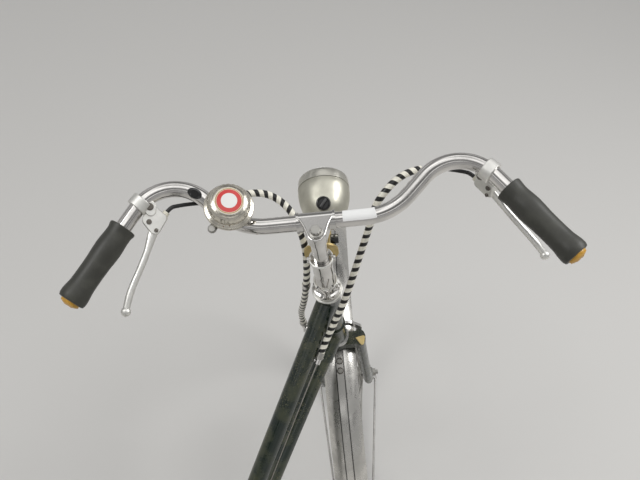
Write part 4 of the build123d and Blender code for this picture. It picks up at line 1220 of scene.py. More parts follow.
@dataclass
class Grips:
    """The rubber grips with their ridged amber plugs."""

    bar: BarLine
    left_end: float = 0.110
    right_end: float = 0.114
    profile: tuple = (
        # distance from the bar's end and radius, in millimetres
        (-7.2, 13.4), (-7.4, 15.5), (-6.6, 17.6), (-3, 18.9), (3, 19.0), (9, 18.2), (16, 17.2), (27, 16.8),
        (40, 16.8), (54, 17.1), (66, 17.9), (75, 18.3), (84, 18.0), (92, 17.3), (98, 17.1), (102, 17.3),
    )
    plug_profile: tuple = (
        (0, -1), (13.3, -1), (13.3, -7.6), (12.9, -9.2), (11.6, -10.9), (9.4, -12.2), (6, -13.0), (0, -13.2),
    )

    def build(self) -> None:
        """Build both grips and both plugs."""
        for side, name, end in ((Side.LEFT, "left", self.left_end), (Side.RIGHT, "right", self.right_end)):
            home = self.bar.at(side, 0)
            top = end / MM
            outer = [*self.profile, (top - 4, 18.4), (top - 1, 18.5), (top, 17.6), (top, 11.3), (-0.6, 11.3)]
            outer.append((-0.6, 13.4))
            bm = lathe([(r * MM, z * MM) for z, r in outer], home, 72)
            add_piece(
                f"grip_rubber_{name}", bm, Finishes.GRIP, Body.STEERING, (f"grip_{name}",)
            )
            plug = lathe(millimetres(*self.plug_profile), home, 48)
            for step in range(12):
                turn = home @ Matrix.Rotation(math.radians(30 * step), 4, "Z")
                rod(plug, turn @ Vector((0.0126, 0, -0.0098)), turn @ Vector((0.0045, 0, -0.0132)), 0.0007, 8)
            add_piece(
                f"grip_plug_{name}", plug, Finishes.AMBER, Body.STEERING,
                ("grip_plugs",) if side is Side.LEFT else (),
            )


@dataclass
class Levers:
    """The brake levers: clamp bands, bodies, blades with ball ends, screws and cable barrels."""

    bar: BarLine
    from_end: float = 0.1483
    rolls: tuple = ((Side.LEFT, 62.0), (Side.RIGHT, 4.0))
    half: float = 0.0068
    blade_line: tuple = (
        # away from the bar and towards the grip's end, in millimetres
        (33, 6), (39, 21), (49, 42), (56.4, 63), (63.5, 85.5), (71.6, 106), (80.5, 120),
    )
    blade_sizes: tuple = (
        # share of the blade's length, half depth and half width
        (0, 7.6, 4.6), (0.12, 6.6, 4.2), (0.3, 4.7, 4.2), (0.6, 4.7, 5.0), (0.85, 5.0, 5.2), (1, 4.4, 4.6),
    )
    clamp_profile: tuple = (
        (11.3, -7.6), (14.8, -7.6), (15.4, -6.8), (15.4, 6.8), (14.8, 7.6), (11.3, 7.6),
    )
    ear_discs: tuple = ((12.5, -5.5, 8.6), (17, -2, 7))
    ear_half: float = 0.0085
    body_discs: tuple = ((22, 9, 8), (36, 12, 8), (34, -4, 7), (20, -4, 7))
    screws: tuple = (
        # away from the bar, along it, radius and level, in millimetres
        (12.5, -5.5, 5.0, 8.5), (24.9, 10.5, 3.6, 6.8), (39.5, 13.0, 2.8, 6.8),
    )
    screw_profile: tuple = ((0, -0.3), (1, -0.3), (1, 1.0), (0.8, 1.8), (0, 2.0))
    ball_radius: float = 0.0067
    barrel_line: tuple = ((34.2, -4, 0), (33.4, -15.5, 0))
    nose_line: tuple = ((33.4, -14.5, 0), (32.7, -23.4, 0), (35.2, -27.2, 0))
    nose_radius: float = 0.0029

    def home(self, side: Side, roll: float) -> Matrix:
        """Find a lever's place: X away from the bar, Y along it to the grip's end.

        Args:
            side: The lever's side.
            roll: Its turn about the bar in degrees.

        Returns:
            The place.
        """
        clamp = self.bar.at(side, self.from_end)
        down, across = math.cos(math.radians(roll)), -side.value * math.sin(math.radians(roll))
        return local_place(clamp, (0, 0, 0), (-across, down, 0), (down, across, 0))

    def build(self) -> None:
        """Build both levers."""
        for side, roll in self.rolls:
            home = self.home(side, roll)
            word = side.name.lower()
            self._body(home, word, self.bar.at(side, self.from_end))
            self._blade(home, word)
            self._screws(home, word)
            self._barrel(home, word)

    def _body(self, home: Matrix, word: str, clamp: Matrix) -> None:
        """Build the clamp band with its ear and the cast body.

        Args:
            home: The lever's place.
            word: The side's name.
            clamp: The place across the bar.
        """
        bm = lathe(millimetres(*self.clamp_profile), clamp, 64)
        slab(bm, home, self.ear_discs, self.ear_half)
        slab(bm, home, self.body_discs, self.half)
        add_piece(
            f"lever_body_{word}", bm, Finishes.ALLOY, Body.STEERING,
            (f"lever_clamp_{word}",),
        )

    def _blade(self, home: Matrix, word: str) -> None:
        """Build the blade and its ball end.

        Args:
            home: The lever's place.
            word: The side's name.
        """
        corners = [home @ Vector((x * MM, y * MM, 0)) for x, y in self.blade_line]
        line = route_points(f"{word} blade line", corners)
        total = sum((b - a).length for a, b in zip(line, line[1:]))

        def size(along: float) -> tuple[float, float]:
            """Return the blade's half sizes at a distance along it."""
            share = min(along / total, 1.0)
            for (low, deep, wide), (high, deeper, wider) in zip(self.blade_sizes, self.blade_sizes[1:]):
                if share <= high:
                    part = (share - low) / (high - low)
                    return (wide + (wider - wide) * part) * MM, (deep + (deeper - deep) * part) * MM
            return 0.0, 0.0

        bm = tube(line, size, 20, home.col[2].xyz)
        ball_at = Matrix.Translation(line[-1])
        bmesh.ops.create_uvsphere(bm, u_segments=24, v_segments=14, radius=self.ball_radius, matrix=ball_at)
        add_piece(
            f"lever_blade_{word}", bm, Finishes.ALLOY, Body.STEERING, (f"lever_{word}",)
        )

    def _screws(self, home: Matrix, word: str) -> None:
        """Add the clamp bolt, the pivot and the stop screw.

        Args:
            home: The lever's place.
            word: The side's name.
        """
        bm = bmesh.new()
        for x, y, radius, level in self.screws:
            for way in (1, -1):
                foot = local_place(home, (x * MM, y * MM, way * level * MM), (0, 0, way), (1, 0, 0))
                profile = [(share * radius * MM, height * MM) for share, height in self.screw_profile]
                cap = lathe(profile, Matrix.Identity(4), 24)
                repeat(bm, cap, (foot,))
                slot = foot @ Matrix.Translation((0, 0, 0.002))
                block(bm, slot, (0.0016 * radius, 0.0008, 0.0007))
        add_piece(f"lever_screws_{word}", bm, Finishes.STEEL, Body.STEERING)

    def _barrel(self, home: Matrix, word: str) -> None:
        """Add the cream barrel and the black nose that the cable leaves from.

        Args:
            home: The lever's place.
            word: The side's name.
        """
        foot, end = (home @ Vector(point) for point in millimetres(*self.barrel_line))
        barrel = bmesh.new()
        rod(barrel, foot, end, 0.0052, 24, 0.0046)
        rod(barrel, foot, foot + (end - foot) * 0.45, 0.0066, 8)
        add_piece(f"cable_barrel_{word}", barrel, Finishes.CREAM, Body.STEERING)
        line = [home @ Vector(point) for point in millimetres(*self.nose_line)]
        nose = tube(route_points(f"{word} nose line", line), self.nose_radius, 16)
        add_piece(f"cable_nose_{word}", nose, Finishes.BLACK, Body.STEERING)


@dataclass
class Bell:
    """The bell: clamp, stepped dome with its fluted edge, round blank sticker and thumb lever."""

    bar: BarLine
    from_end: float = 0.284
    forward: float = 0.003
    flutes: int = 26
    flute_depth: float = 0.0005
    profile: tuple = (
        (0, 28.3), (31.6, 28.3), (31.6, 26.3), (33.0, 26.3), (33.3, 27.6), (32.8, 29.4), (31.2, 30.6),
        (28.6, 31.2), (27.6, 32.0), (27.5, 33.4), (28.3, 34.6), (28.8, 36.0), (28.8, 38.4), (28.0, 41.0),
        (26.4, 43.4), (24.0, 45.4), (20.8, 47.0), (18.4, 47.7), (11.8, 48.8), (5.0, 49.2), (0, 49.3),
    )
    fluted: tuple = (0.034, 0.0436)
    base_profile: tuple = (
        (0, 10.5), (9, 10.5), (9, 20.6), (26, 20.6), (29.6, 21.6), (30.4, 23.4), (30.4, 26.0), (0, 26.0),
    )
    clamp_profile: tuple = ((11.3, -7), (13.2, -7), (13.5, -6), (13.5, 6), (13.2, 7), (11.3, 7))
    clamp_bolt: tuple = ((8, -13, 14), (-8, -13, 14))
    lever_plates: tuple = (
        # level and half thickness in metres, and the discs in millimetres
        (0.0215, 0.0011, ((-22, 1, 4), (-36, 1.6, 6))), (0.0235, 0.0026, ((-37, 1.6, 5),)),
    )
    sticker_rings: tuple = (
        # lift above the dome in millimetres, name, finish and radii of the ring
        (0.10, "sticker_edge", Finishes.CREAM, (0, 19.0)),
        (0.17, "sticker_ring", Finishes.STICKER_RED, (10.7, 16.3)),
        (0.17, "sticker_line", Finishes.STICKER_GOLD, (16.9, 18.0)),
        (0.24, "sticker_middle", Finishes.STICKER_WHITE, (0, 10.5)),
    )

    def build(self) -> None:
        """Build the base, the dome and the sticker."""
        clamp = self.bar.at(Side.LEFT, self.from_end)
        home = local_place(clamp, (0, self.forward, 0), (-1, 0, 0), (0, 1, 0))
        self._base(clamp, home)
        dome = lathe(millimetres(*self.profile), Matrix.Identity(4), 4 * self.flutes)
        for vert in dome.verts:
            count = round(math.atan2(vert.co.y, vert.co.x) / math.tau * 4 * self.flutes)
            if self.fluted[0] < vert.co.z < self.fluted[1] and count % 4 in (0, 1):
                share = 1 - self.flute_depth / vert.co.xy.length
                bmesh.ops.scale(dome, vec=(share, share, 1), verts=[vert])
        add_piece(
            "bell_top", moved(dome, home), Finishes.PITTED, Body.STEERING, ("bell_dome",)
        )
        for lift, name, finish, (inner, outer) in self.sticker_rings:
            radii = sorted({inner, outer, *(r for r, _ in self.profile[-7:] if inner < r < outer)})
            upper = [(r, self._level(r) + lift) for r in radii]
            lower = [(r, z - 0.07) for r, z in reversed(upper)]
            ring = lathe(millimetres(*upper, *lower), home, 96)
            add_piece(f"bell_{name}", ring, finish, Body.STEERING)

    def _base(self, clamp: Matrix, home: Matrix) -> None:
        """Build the clamp, the base pan and the thumb lever.

        Args:
            clamp: The place across the bar.
            home: The bell's place, with Z out of the dome.
        """
        bm = lathe(millimetres(*self.clamp_profile), clamp, 56)
        repeat(bm, lathe(millimetres(*self.base_profile), Matrix.Identity(4), 64), (home,))
        start, stop = (home @ Vector(point) for point in millimetres(*self.clamp_bolt))
        rod(bm, start, stop, 0.003, 12)
        add_piece("bell_pan", bm, Finishes.CHROME, Body.STEERING, ("bell_base",))
        lever = bmesh.new()
        for level, half, discs in self.lever_plates:
            slab(lever, home @ Matrix.Translation((0, 0, level)), discs, half)
        add_piece("bell_thumb_lever", lever, Finishes.ZINC, Body.STEERING)

    def _level(self, radius: float) -> float:
        """Return the dome's height at a radius, both in millimetres.

        Args:
            radius: The distance from the bell's axis.

        Returns:
            The height above the bar's centre line.
        """
        for (outer, low), (inner, high) in zip(self.profile[-8:], self.profile[-7:]):
            if inner <= radius <= outer:
                return low + (high - low) * (outer - radius) / (outer - inner)
        return self.profile[-1][1]


@dataclass
class Headlamp:
    """The round headlamp: drawn shell, beaded seam, fluted lens, turn switch and wire terminal."""

    steering: Matrix
    at: tuple = (0.121, -0.0095, -0.073)
    shell: tuple = (
        (0, -68), (5, -67.4), (10, -65.6), (15, -62.4), (19.6, -58.4), (23.6, -53.8), (27.2, -48.4),
        (30.4, -43), (32.8, -37), (34.9, -30.5), (36.6, -23.5), (37.8, -16), (38.4, -8.5), (38.1, -3),
        (37.5, -0.4), (37.5, 0), (0, 0),
    )
    rim: tuple = (
        (33.5, 0.3), (37.9, 0.3), (38.5, 0.9), (38.5, 2.0), (37.9, 2.6), (37.7, 6), (37.5, 12), (36.6, 15),
        (34.9, 16.8), (33.0, 17.0), (31.6, 16.2), (31.6, 13), (33.5, 12),
    )
    lens_radius: float = 0.0312
    ribs: int = 13
    knob_at: tuple = (0, 0.0303, -0.043)
    knob_way: tuple = (0, 0.925, -0.38)
    knob_profile: tuple = (
        (0, 0.2), (9.8, 0.2), (10.2, 1.2), (10.2, 4.6), (9.6, 5.6), (8.6, 5.8), (7.8, 5.0), (7.6, 3.6),
        (0, 3.6),
    )
    knob_ridges: int = 30
    knob_turn: float = 52.0
    handle_size: tuple = (0.0150, 0.0036, 0.0040)
    terminal_at: tuple = (0.030, -0.0205, -0.062)
    terminal_way: tuple = (0.55, 0, 0.83)
    terminal_size: tuple = (0.012, 0.016, 0.008)

    def build(self) -> None:
        """Build the lamp's pieces."""
        home = local_place(self.steering, self.at, (1, 0, 0), (0, 1, 0))
        shell = lathe(millimetres(*self.shell), home, 96)
        add_piece("lamp_shell", shell, Finishes.LAMP, Body.STEERING, ("headlamp_shell",))
        rim = lathe(millimetres(*self.rim), home, 96)
        add_piece("lamp_rim", rim, Finishes.LAMP_RIM, Body.STEERING, ("headlamp_rim",))
        self._ribs(home)
        self._switch(home)
        self._terminal()

    def _ribs(self, home: Matrix) -> None:
        """Lay upright ribs over the lens.

        Args:
            home: The lamp's place, with Z ahead and Y up.
        """
        bm = bmesh.new()
        step = 2 * self.lens_radius / self.ribs
        for count in range(self.ribs):
            x = (count + 0.5) * step - self.lens_radius
            half = math.sqrt(max(self.lens_radius**2 - (abs(x) + step / 2) ** 2, 1e-6))
            level = 0.0135 + 0.0045 * (1 - (x / self.lens_radius) ** 2)
            start, stop = home @ Vector((x, -half, level)), home @ Vector((x, half, level))
            rod(bm, start, stop, 0.55 * step, 12)
        add_piece("lamp_lens_ribs", bm, Finishes.GLASS, Body.STEERING)

    def _switch(self, home: Matrix) -> None:
        """Build the round turn switch with its raised handle.

        Args:
            home: The lamp's place.
        """
        knob = local_place(home, self.knob_at, self.knob_way, (1, 0, 0))
        bm = lathe(millimetres(*self.knob_profile), knob, 60)
        for step in range(self.knob_ridges):
            turn = knob @ Matrix.Rotation(math.tau / self.knob_ridges * step, 4, "Z")
            block(bm, turn @ Matrix.Translation((0.0102, 0, 0.0028)), (0.0007, 0.0009, 0.0034))
        add_piece("lamp_switch", bm, Finishes.BLACK, Body.STEERING, ("headlamp_switch",))
        handle = bmesh.new()
        slant = Matrix.Rotation(math.radians(self.knob_turn), 4, "Z") @ Matrix.Translation((0, 0, 0.0052))
        block(handle, knob @ slant, self.handle_size, 0.0006)
        add_piece("lamp_switch_handle", handle, Finishes.GREY, Body.STEERING)

    def _terminal(self) -> None:
        """Build the small black terminal behind the lamp, with two bright screws."""
        home = local_place(self.steering, self.terminal_at, self.terminal_way, (0, 1, 0))
        bm = bmesh.new()
        block(bm, home, self.terminal_size, 0.0012)
        add_piece("lamp_terminal", bm, Finishes.BLACK, Body.STEERING)
        screws = bmesh.new()
        for x in (-0.003, 0.003):
            hex_head(screws, home @ Matrix.Translation((x, 0, self.terminal_size[2] / 2)), 0.0019, 0.0014)
        add_piece("lamp_terminal_screws", screws, Finishes.ALLOY, Body.STEERING)


@dataclass
class BarTrim:
    """Small things on the handlebar and stem: the bolt, a blank label, a rubber plug and raised rims."""

    bar: BarLine
    steering: Matrix
    label_from: float = 0.326
    label_length: float = 0.045
    label_width: float = 0.0185
    label_radius: float = 0.0113
    sleeve_end: float = 0.3822
    rim_line: tuple = (
        # forward, left and up from the bar's middle, in millimetres
        (23, 22, 12.5), (13, 16.5, 13.2), (3, 13.2, 13.4), (-6, 10.5, 13.4), (-12, 5.5, 13.2), (-13, 0, 13),
    )
    bolt_profile: tuple = ((0, 13.5), (9.2, 13.5), (9.2, 14.8), (8.4, 15.3), (0, 15.3))
    plug_profile: tuple = ((0, 0), (7.0, 0), (7.0, 2.2), (6.4, 3.2), (4.6, 3.6), (4.2, 3.0), (0, 3.0))
    plug_at: float = 0.231
    plug_foot: tuple = (-0.0092, -0.0044, 0)
    plug_way: tuple = (-0.90, -0.38, 0.1)
    plug_stretch: float = 1.45

    def build(self) -> None:
        """Build the trim."""
        bolt = lathe(millimetres(*self.bolt_profile), self.steering, 40)
        hex_head(bolt, self.steering @ Matrix.Translation((0, 0, 0.0152)), 0.0077, 0.0062)
        add_piece("stem_bolt", bolt, Finishes.ZINC, Body.STEERING)
        self._label()
        self._stem_rim()
        home = self.bar.at(Side.LEFT, self.plug_at)
        foot = local_place(home, self.plug_foot, self.plug_way, (0, 0, 1))
        plug = lathe(millimetres(*self.plug_profile), Matrix.Diagonal((self.plug_stretch, 1, 1, 1)), 40)
        add_piece("bar_plug", moved(plug, foot), Finishes.BLACK, Body.STEERING)

    def _label(self) -> None:
        """Wrap a blank paper label over the top of the bar."""
        bm = bmesh.new()
        bmesh.ops.create_grid(bm, x_segments=24, y_segments=14, size=0.5)
        for vert in bm.verts:
            home = self.bar.at(Side.RIGHT, self.label_from + self.label_length * (vert.co.x + 0.5))
            angle = math.pi + self.label_width / self.label_radius * vert.co.y
            vert.co = home @ (self.label_radius * Vector((math.cos(angle), math.sin(angle), 0)))
        bmesh.ops.recalc_face_normals(bm, faces=bm.faces)
        bmesh.ops.solidify(bm, geom=bm.faces[:], thickness=0.0002)
        add_piece("bar_label", bm, Finishes.PAPER, Body.STEERING)

    def _stem_rim(self) -> None:
        """Add the raised rim round the stem's head and the beads at its sleeve's ends."""
        half = [Vector(corner) * MM for corner in self.rim_line]
        corners = half + [Vector((corner.x, -corner.y, corner.z)) for corner in reversed(half[:-1])]
        bm = tube(route_points("stem rim line", [self.steering @ corner for corner in corners]), 0.0017, 14)
        for side in Side:
            repeat(bm, bead(self.bar.at(side, self.sleeve_end), 0.0132, 0.0011), (Matrix.Identity(4),))
        add_piece("stem_rim", bm, Finishes.CHROME, Body.STEERING)


@dataclass
class HeadTrim:
    """Small things round the head: the clamp's split legs, bright beads and the mudguard's bolts."""

    steering: Matrix
    front_wheel: Matrix
    leg: tuple = ((-19.5, 11, -112), (-22, 6, -122), (-21.5, 1.6, -133), (-22.5, 4, -146), (-20.5, 9, -152))
    beads: tuple = (
        # radius, level and thickness in millimetres
        (16.1, -59.0, 1.5), (16.7, -130.5, 1.5), (21.6, -163.5, 2.0),
    )
    wedge_at: tuple = (-0.006, -0.040, -0.3648)
    wedge_discs: tuple = ((-6, -3, 3.5), (4, 6, 1.5), (5, -6, 3))
    bolt_angles: tuple = (105.1, 107.9)
    guard_radius: float = 0.3452

    def build(self) -> None:
        """Build the trim."""
        legs = bmesh.new()
        for way in (1, -1):
            corners = [self.steering @ Vector((x * MM, way * y * MM, z * MM)) for x, y, z in self.leg]
            strip = tube(route_points("leg line", corners), 0.0019, 12)
            repeat(legs, strip, (Matrix.Identity(4),))
        add_piece("clamp_legs", legs, Finishes.CHROME, Body.STEERING)
        rings = bmesh.new()
        for radius, level, thick in self.beads:
            home = self.steering @ Matrix.Translation((0, 0, level * MM))
            repeat(rings, bead(home, radius * MM, thick * MM), (Matrix.Identity(4),))
        add_piece("head_beads", rings, Finishes.ALLOY, Body.STEERING)
        wedge = bmesh.new()
        slab(wedge, local_place(self.steering, self.wedge_at, (0, 0, 1), (1, 0, 0)), self.wedge_discs, 0.0009)
        add_piece("crown_wedge", wedge, Finishes.YELLOW_ZINC, Body.STEERING)
        bolts, washers = bmesh.new(), bmesh.new()
        for angle in self.bolt_angles:
            out = math.radians(angle)
            way = Vector((math.cos(out), math.sin(out), 0))
            foot = self.front_wheel @ place(way * (self.guard_radius - 0.0002), way, (0, 0, 1))
            hex_head(bolts, foot, 0.0046, 0.0040)
            repeat(washers, bead(foot, 0.0050, 0.0009), (Matrix.Identity(4),))
        add_piece("mudguard_bolts", bolts, Finishes.ZINC, Body.STEERING)
        add_piece("mudguard_washers", washers, Finishes.STEEL, Body.STEERING)


@dataclass
class Wheel:
    """A wheel's treaded tyre, spoke nipples and valve."""

    name: str
    home: Matrix
    body: Body
    flange_spread: float
    steps: int = 144
    tread_profile: tuple = (
        # angle out of the tyre's middle plane in degrees, and radius in millimetres
        (126, 18), (108, 18), (90, 18), (76, 17.9), (66, 17.6), (54, 17.2), (42, 17.0), (30, 17.0),
        (18, 17.0), (6, 17.0),
    )
    core_radius: float = 0.307
    rim_radius: float = 0.2963
    rim_depth: float = 0.013
    spokes: int = 36
    hole_circle: float = 0.017
    spoke_offset: float = 0.0022

    def build(self) -> None:
        """Build the tyre, nipples and valve."""
        self._tyre()
        self._nipples()
        self._valve()

    def _tyre(self) -> None:
        """Build the tyre, with raised blocks in rows round its tread."""
        profile = []
        for angle, radius in self.tread_profile:
            out = math.radians(angle)
            profile.append((self.core_radius + radius * MM * math.cos(out), radius * MM * math.sin(out)))
        profile += [(r, -z) for r, z in reversed(profile)]
        bm = lathe(profile, Matrix.Identity(4), 2 * self.steps)
        blocks = []
        for face in bm.faces:
            middle = face.calc_center_median()
            across = math.degrees(math.atan2(middle.z, middle.xy.length - self.core_radius))
            count = math.floor((math.atan2(middle.y, middle.x) / math.tau % 1) * 2 * self.steps)
            row = round(across / 12)
            if abs(across) < 8 or (abs(across) < 56 and (count + abs(row)) % 2 == 0):
                blocks.append(face)
        bmesh.ops.inset_individual(bm, faces=blocks, thickness=0.0005, depth=0.0010)
        add_piece(
            f"{self.name}_tyre_tread", moved(bm, self.home), Finishes.TYRE, self.body,
            (f"{self.name}_tyre",), 40,
        )

    def _nipples(self) -> None:
        """Add a nipple where each spoke meets the rim, and its head at the hub's flange."""
        bm = bmesh.new()
        inner = self.rim_radius - self.rim_depth
        for count in range(self.spokes):
            side, lead = (1 if count % 2 else -1), (1 if count % 4 < 2 else -1)
            at_rim = math.tau / self.spokes * count
            at_hub = at_rim + lead * math.radians(6 * 360 / self.spokes)
            start = Vector((
                self.hole_circle * math.cos(at_hub), self.hole_circle * math.sin(at_hub),
                side * (self.flange_spread / 2 + lead * self.spoke_offset),
            ))
            stop = Vector((inner * math.cos(at_rim), inner * math.sin(at_rim), side * 0.0025))
            way = (stop - start).normalized()
            rod(bm, stop - way * 0.012, stop + way * 0.0008, 0.0017, 8, 0.0022)
            rod(bm, start - Vector((0, 0, 0.0016)), start + Vector((0, 0, 0.0016)), 0.0021, 8)
        add_piece(f"{self.name}_nipples", moved(bm, self.home), Finishes.ZINC, self.body)

    def _valve(self) -> None:
        """Add the valve between two spokes, with its nut and cap."""
        out = math.tau / self.spokes * 9.5
        way = Vector((math.cos(out), math.sin(out), 0))
        inner = self.rim_radius - self.rim_depth
        bm = bmesh.new()
        rod(bm, way * (inner + 0.002), way * (inner - 0.024), 0.0030, 16)
        foot = place(way * (inner - 0.0005), -way, (0, 0, 1))
        hex_head(bm, foot, 0.0062, 0.0035)
        add_piece(f"{self.name}_valve", moved(bm, self.home), Finishes.ZINC, self.body)
        cap = bmesh.new()
        rod(cap, way * (inner - 0.022), way * (inner - 0.035), 0.0042, 16, 0.0034)
        add_piece(f"{self.name}_valve_cap", moved(cap, self.home), Finishes.BLACK, self.body)


@dataclass
class Chain:
    """The chain, link by link."""

    crank: Matrix
    pitch: float = 0.0127
    line: float = 0.0465
    ring_radius: float = 0.08902
    sprocket_radius: float = 0.03657
    sprocket_at: tuple = (-0.44732, 0.049)
    plate_height: float = 0.0078
    plate_thickness: float = 0.0010

    def _path(self) -> list[Vector]:
        """Return the chain's line as close points."""
        far = Vector(self.sprocket_at)
        span = far.length
        lean = math.acos((self.ring_radius - self.sprocket_radius) / span)
        heading = math.atan2(far.y, far.x)
        points = []
        for centre, radius, first, last in (
            (Vector((0, 0)), self.ring_radius, heading + lean, heading + math.tau - lean),
            (far, self.sprocket_radius, heading - lean, heading + lean),
        ):
            for step in range(241):
                angle = first + (last - first) * step / 240
                points.append(centre + radius * Vector((math.cos(angle), math.sin(angle))))
        return [*points, points[0]]

    def build(self) -> None:
        """Lay the links along the line."""
        points = self._path()
        total = sum((b - a).length for a, b in zip(points, points[1:]))
        count = 2 * round(total / self.pitch / 2)
        step = total / count
        pins, travelled, wanted = [], 0.0, 0.0
        for a, b in zip(points, points[1:]):
            run = (b - a).length
            while run > 0 and wanted <= travelled + run and len(pins) < count:
                pins.append(a.lerp(b, (wanted - travelled) / run))
                wanted += step
            travelled += run
        outer, inner, rollers = bmesh.new(), bmesh.new(), bmesh.new()
        for index, (a, b) in enumerate(zip(pins, [*pins[1:], pins[0]])):
            middle, way = (a + b) / 2, (b - a).normalized()
            home = place((*middle, self.line), (0, 0, 1), (*way, 0))
            gap = 0.0031 if index % 2 else 0.0022
            target = outer if index % 2 else inner
            for level in (gap, -gap):
                made = bmesh.ops.create_cube(
                    target, size=1,
                    matrix=home @ Matrix.Translation((0, 0, level)) @ Matrix.Diagonal(
                        (self.pitch + self.plate_height, self.plate_height, self.plate_thickness, 1)
                    ),
                )
                upright = {
                    edge for vert in made["verts"] for edge in vert.link_edges
                    if abs((edge.verts[0].co - edge.verts[1].co).normalized().dot(home.col[2].xyz)) > 0.9
                }
                bmesh.ops.bevel(
                    target, geom=list(upright), offset=0.0034, segments=2, profile=0.5, affect="EDGES",
                    material=-1,
                )
            rod(rollers, Vector((*a, self.line - 0.0042)), Vector((*a, self.line + 0.0042)), 0.0020, 8)
            rod(rollers, Vector((*a, self.line - 0.0016)), Vector((*a, self.line + 0.0016)), 0.0039, 10)
        for name, bm, replaced in (
            ("chain_outer_plates", outer, ("chain",)), ("chain_inner_plates", inner, ()),
            ("chain_rollers", rollers, ()),
        ):
            add_piece(name, moved(bm, self.crank), Finishes.STEEL, Body.FRAME, replaced)


@dataclass
class Pedals:
    """The pedals' ribbed rubbers."""

    nodes: dict
    rib_count: int = 7

    def build(self) -> None:
        """Dress both pedals."""
        for side in Side:
            word = side.name.lower()
            body = Body.LEFT_PEDAL if side is Side.LEFT else Body.RIGHT_PEDAL
            node = f"pedal_rubbers_{word}"
            (low_x, low_y, low_z), (high_x, high_y, high_z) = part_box(node)
            bm = bmesh.new()
            width = (high_x - low_x) * 0.31
            for x in (low_x + width / 2, high_x - width / 2):
                middle = Vector((x, (low_y + high_y) / 2, (low_z + high_z) / 2))
                size = (width - 0.002, high_y - low_y, high_z - low_z - 0.003)
                block(bm, Matrix.Translation(middle), size, 0.004)
                for count in range(self.rib_count):
                    y = low_y + (high_y - low_y) * (count + 0.5) / self.rib_count
                    rib = (width, (high_y - low_y) / self.rib_count * 0.55, high_z - low_z)
                    block(bm, Matrix.Translation((middle.x, y, middle.z)), rib, 0.0045)
            add_piece(f"pedal_treads_{word}", bm, Finishes.GRIP, body, (node,))


@dataclass
class Saddle:
    """The sprung saddle: padded cover with a piped edge, and coil springs under it."""

    nodes: dict
    frame: Matrix
    base: tuple = (-0.27802, 0, 0.81249)
    piping: float = 0.0024
    piping_above: float = 0.006
    rail_radius: float = 0.0036
    rail_line: tuple = (
        # forward, out and up from the base, in millimetres
        (-96, 62, 2), (-84, 38, -3), (-66, 26, -6), (-40, 25, -6), (16, 23.5, -6), (54, 22, -6), (74, 19, 4),
        (124, 8, 56),
    )
    spring_at: tuple = (-0.096, 0.062)
    spring_levels: tuple = (0.004, 0.056)
    spring_radius: float = 0.0124
    spring_wire: float = 0.0026
    spring_turns: float = 6.5
    rods: tuple = (
        # from, to and radius in millimetres: cross rod, nose post, the clamp's barrel, bolt and socket
        ((-96, -76, 56), (-96, 76, 56), 4), ((108, 0, 55), (108, 0, 59.7), 14),
        ((16, -27, -6), (16, 27, -6), 11), ((16, -31, -6), (16, 31, -6), 6),
        ((27.6, 0, -37.9), (15, 0, -3.2), 16.7),
    )

    def build(self) -> None:
        """Build the cover, its piping and the springs."""
        cover = bmesh.new()
        cover.from_mesh(self.nodes["saddle_cover"].data)
        polish(cover, 1e-5)
        edge = cover.copy()
        piece = add_piece(
            "saddle_padding", cover, Finishes.SADDLE, Body.FRAME, ("saddle_cover",), 60
        )
        self._piping(edge)
        self._springs()

    def _springs(self) -> None:
        """Build the rails, the two coil springs, the cross rod and the clamp on the seat post."""
        home = self.frame @ Matrix.Translation(self.base)
        still = Matrix.Identity(4)
        bm = bmesh.new()
        for side in Side:
            corners = [home @ (Vector((x, side.value * y, z)) * MM) for x, y, z in self.rail_line]
            repeat(bm, tube(route_points("rail line", corners), self.rail_radius, 14), (still,))
            low, high = self.spring_levels
            at = home @ Matrix.Translation((self.spring_at[0], side.value * self.spring_at[1], low))
            wire = self.spring_wire
            foot, height = at @ Matrix.Translation((0, 0, wire)), high - low - 2 * wire
            spring = coil(foot, self.spring_radius, height, self.spring_turns, wire)
            repeat(bm, spring, (still,))
            for level in (0.001, high - low - 0.001):
                rod(bm, at @ Vector((0, 0, level - 0.001)), at @ Vector((0, 0, level + 0.001)), 0.015, 32)
            rod(bm, at.translation, at @ Vector((0, 0, 0.02)), 0.0062, 16)
        for start, stop, radius in self.rods:
            rod(bm, home @ (Vector(start) * MM), home @ (Vector(stop) * MM), radius * MM, 32)
        add_piece("saddle_springs", bm, Finishes.STEEL, Body.FRAME, ("saddle_frame",))

    def _piping(self, edge: bmesh.types.BMesh) -> None:
        """Run a piped seam round the cover's lower edge.

        Args:
            edge: A copy of the cover, cut for its outline and freed.
        """
        low = min(vert.co.z for vert in edge.verts)
        cut = bmesh.ops.bisect_plane(
            edge, geom=[*edge.verts, *edge.edges, *edge.faces], plane_co=(0, 0, low + self.piping_above),
            plane_no=(0, 0, 1),
        )["geom_cut"]
        links = [item for item in cut if isinstance(item, bmesh.types.BMEdge)]
        vert = links[0].verts[0]
        line, used = [vert.co.copy()], set()
        while True:
            step = next((e for e in vert.link_edges if e in links and e not in used), None)
            if step is None:
                break
            used.add(step)
            vert = step.other_vert(vert)
            line.append(vert.co.copy())
        edge.free()
        bm = tube(line, self.piping, 10)
        add_piece("saddle_piping", bm, Finishes.PIPING, Body.FRAME)


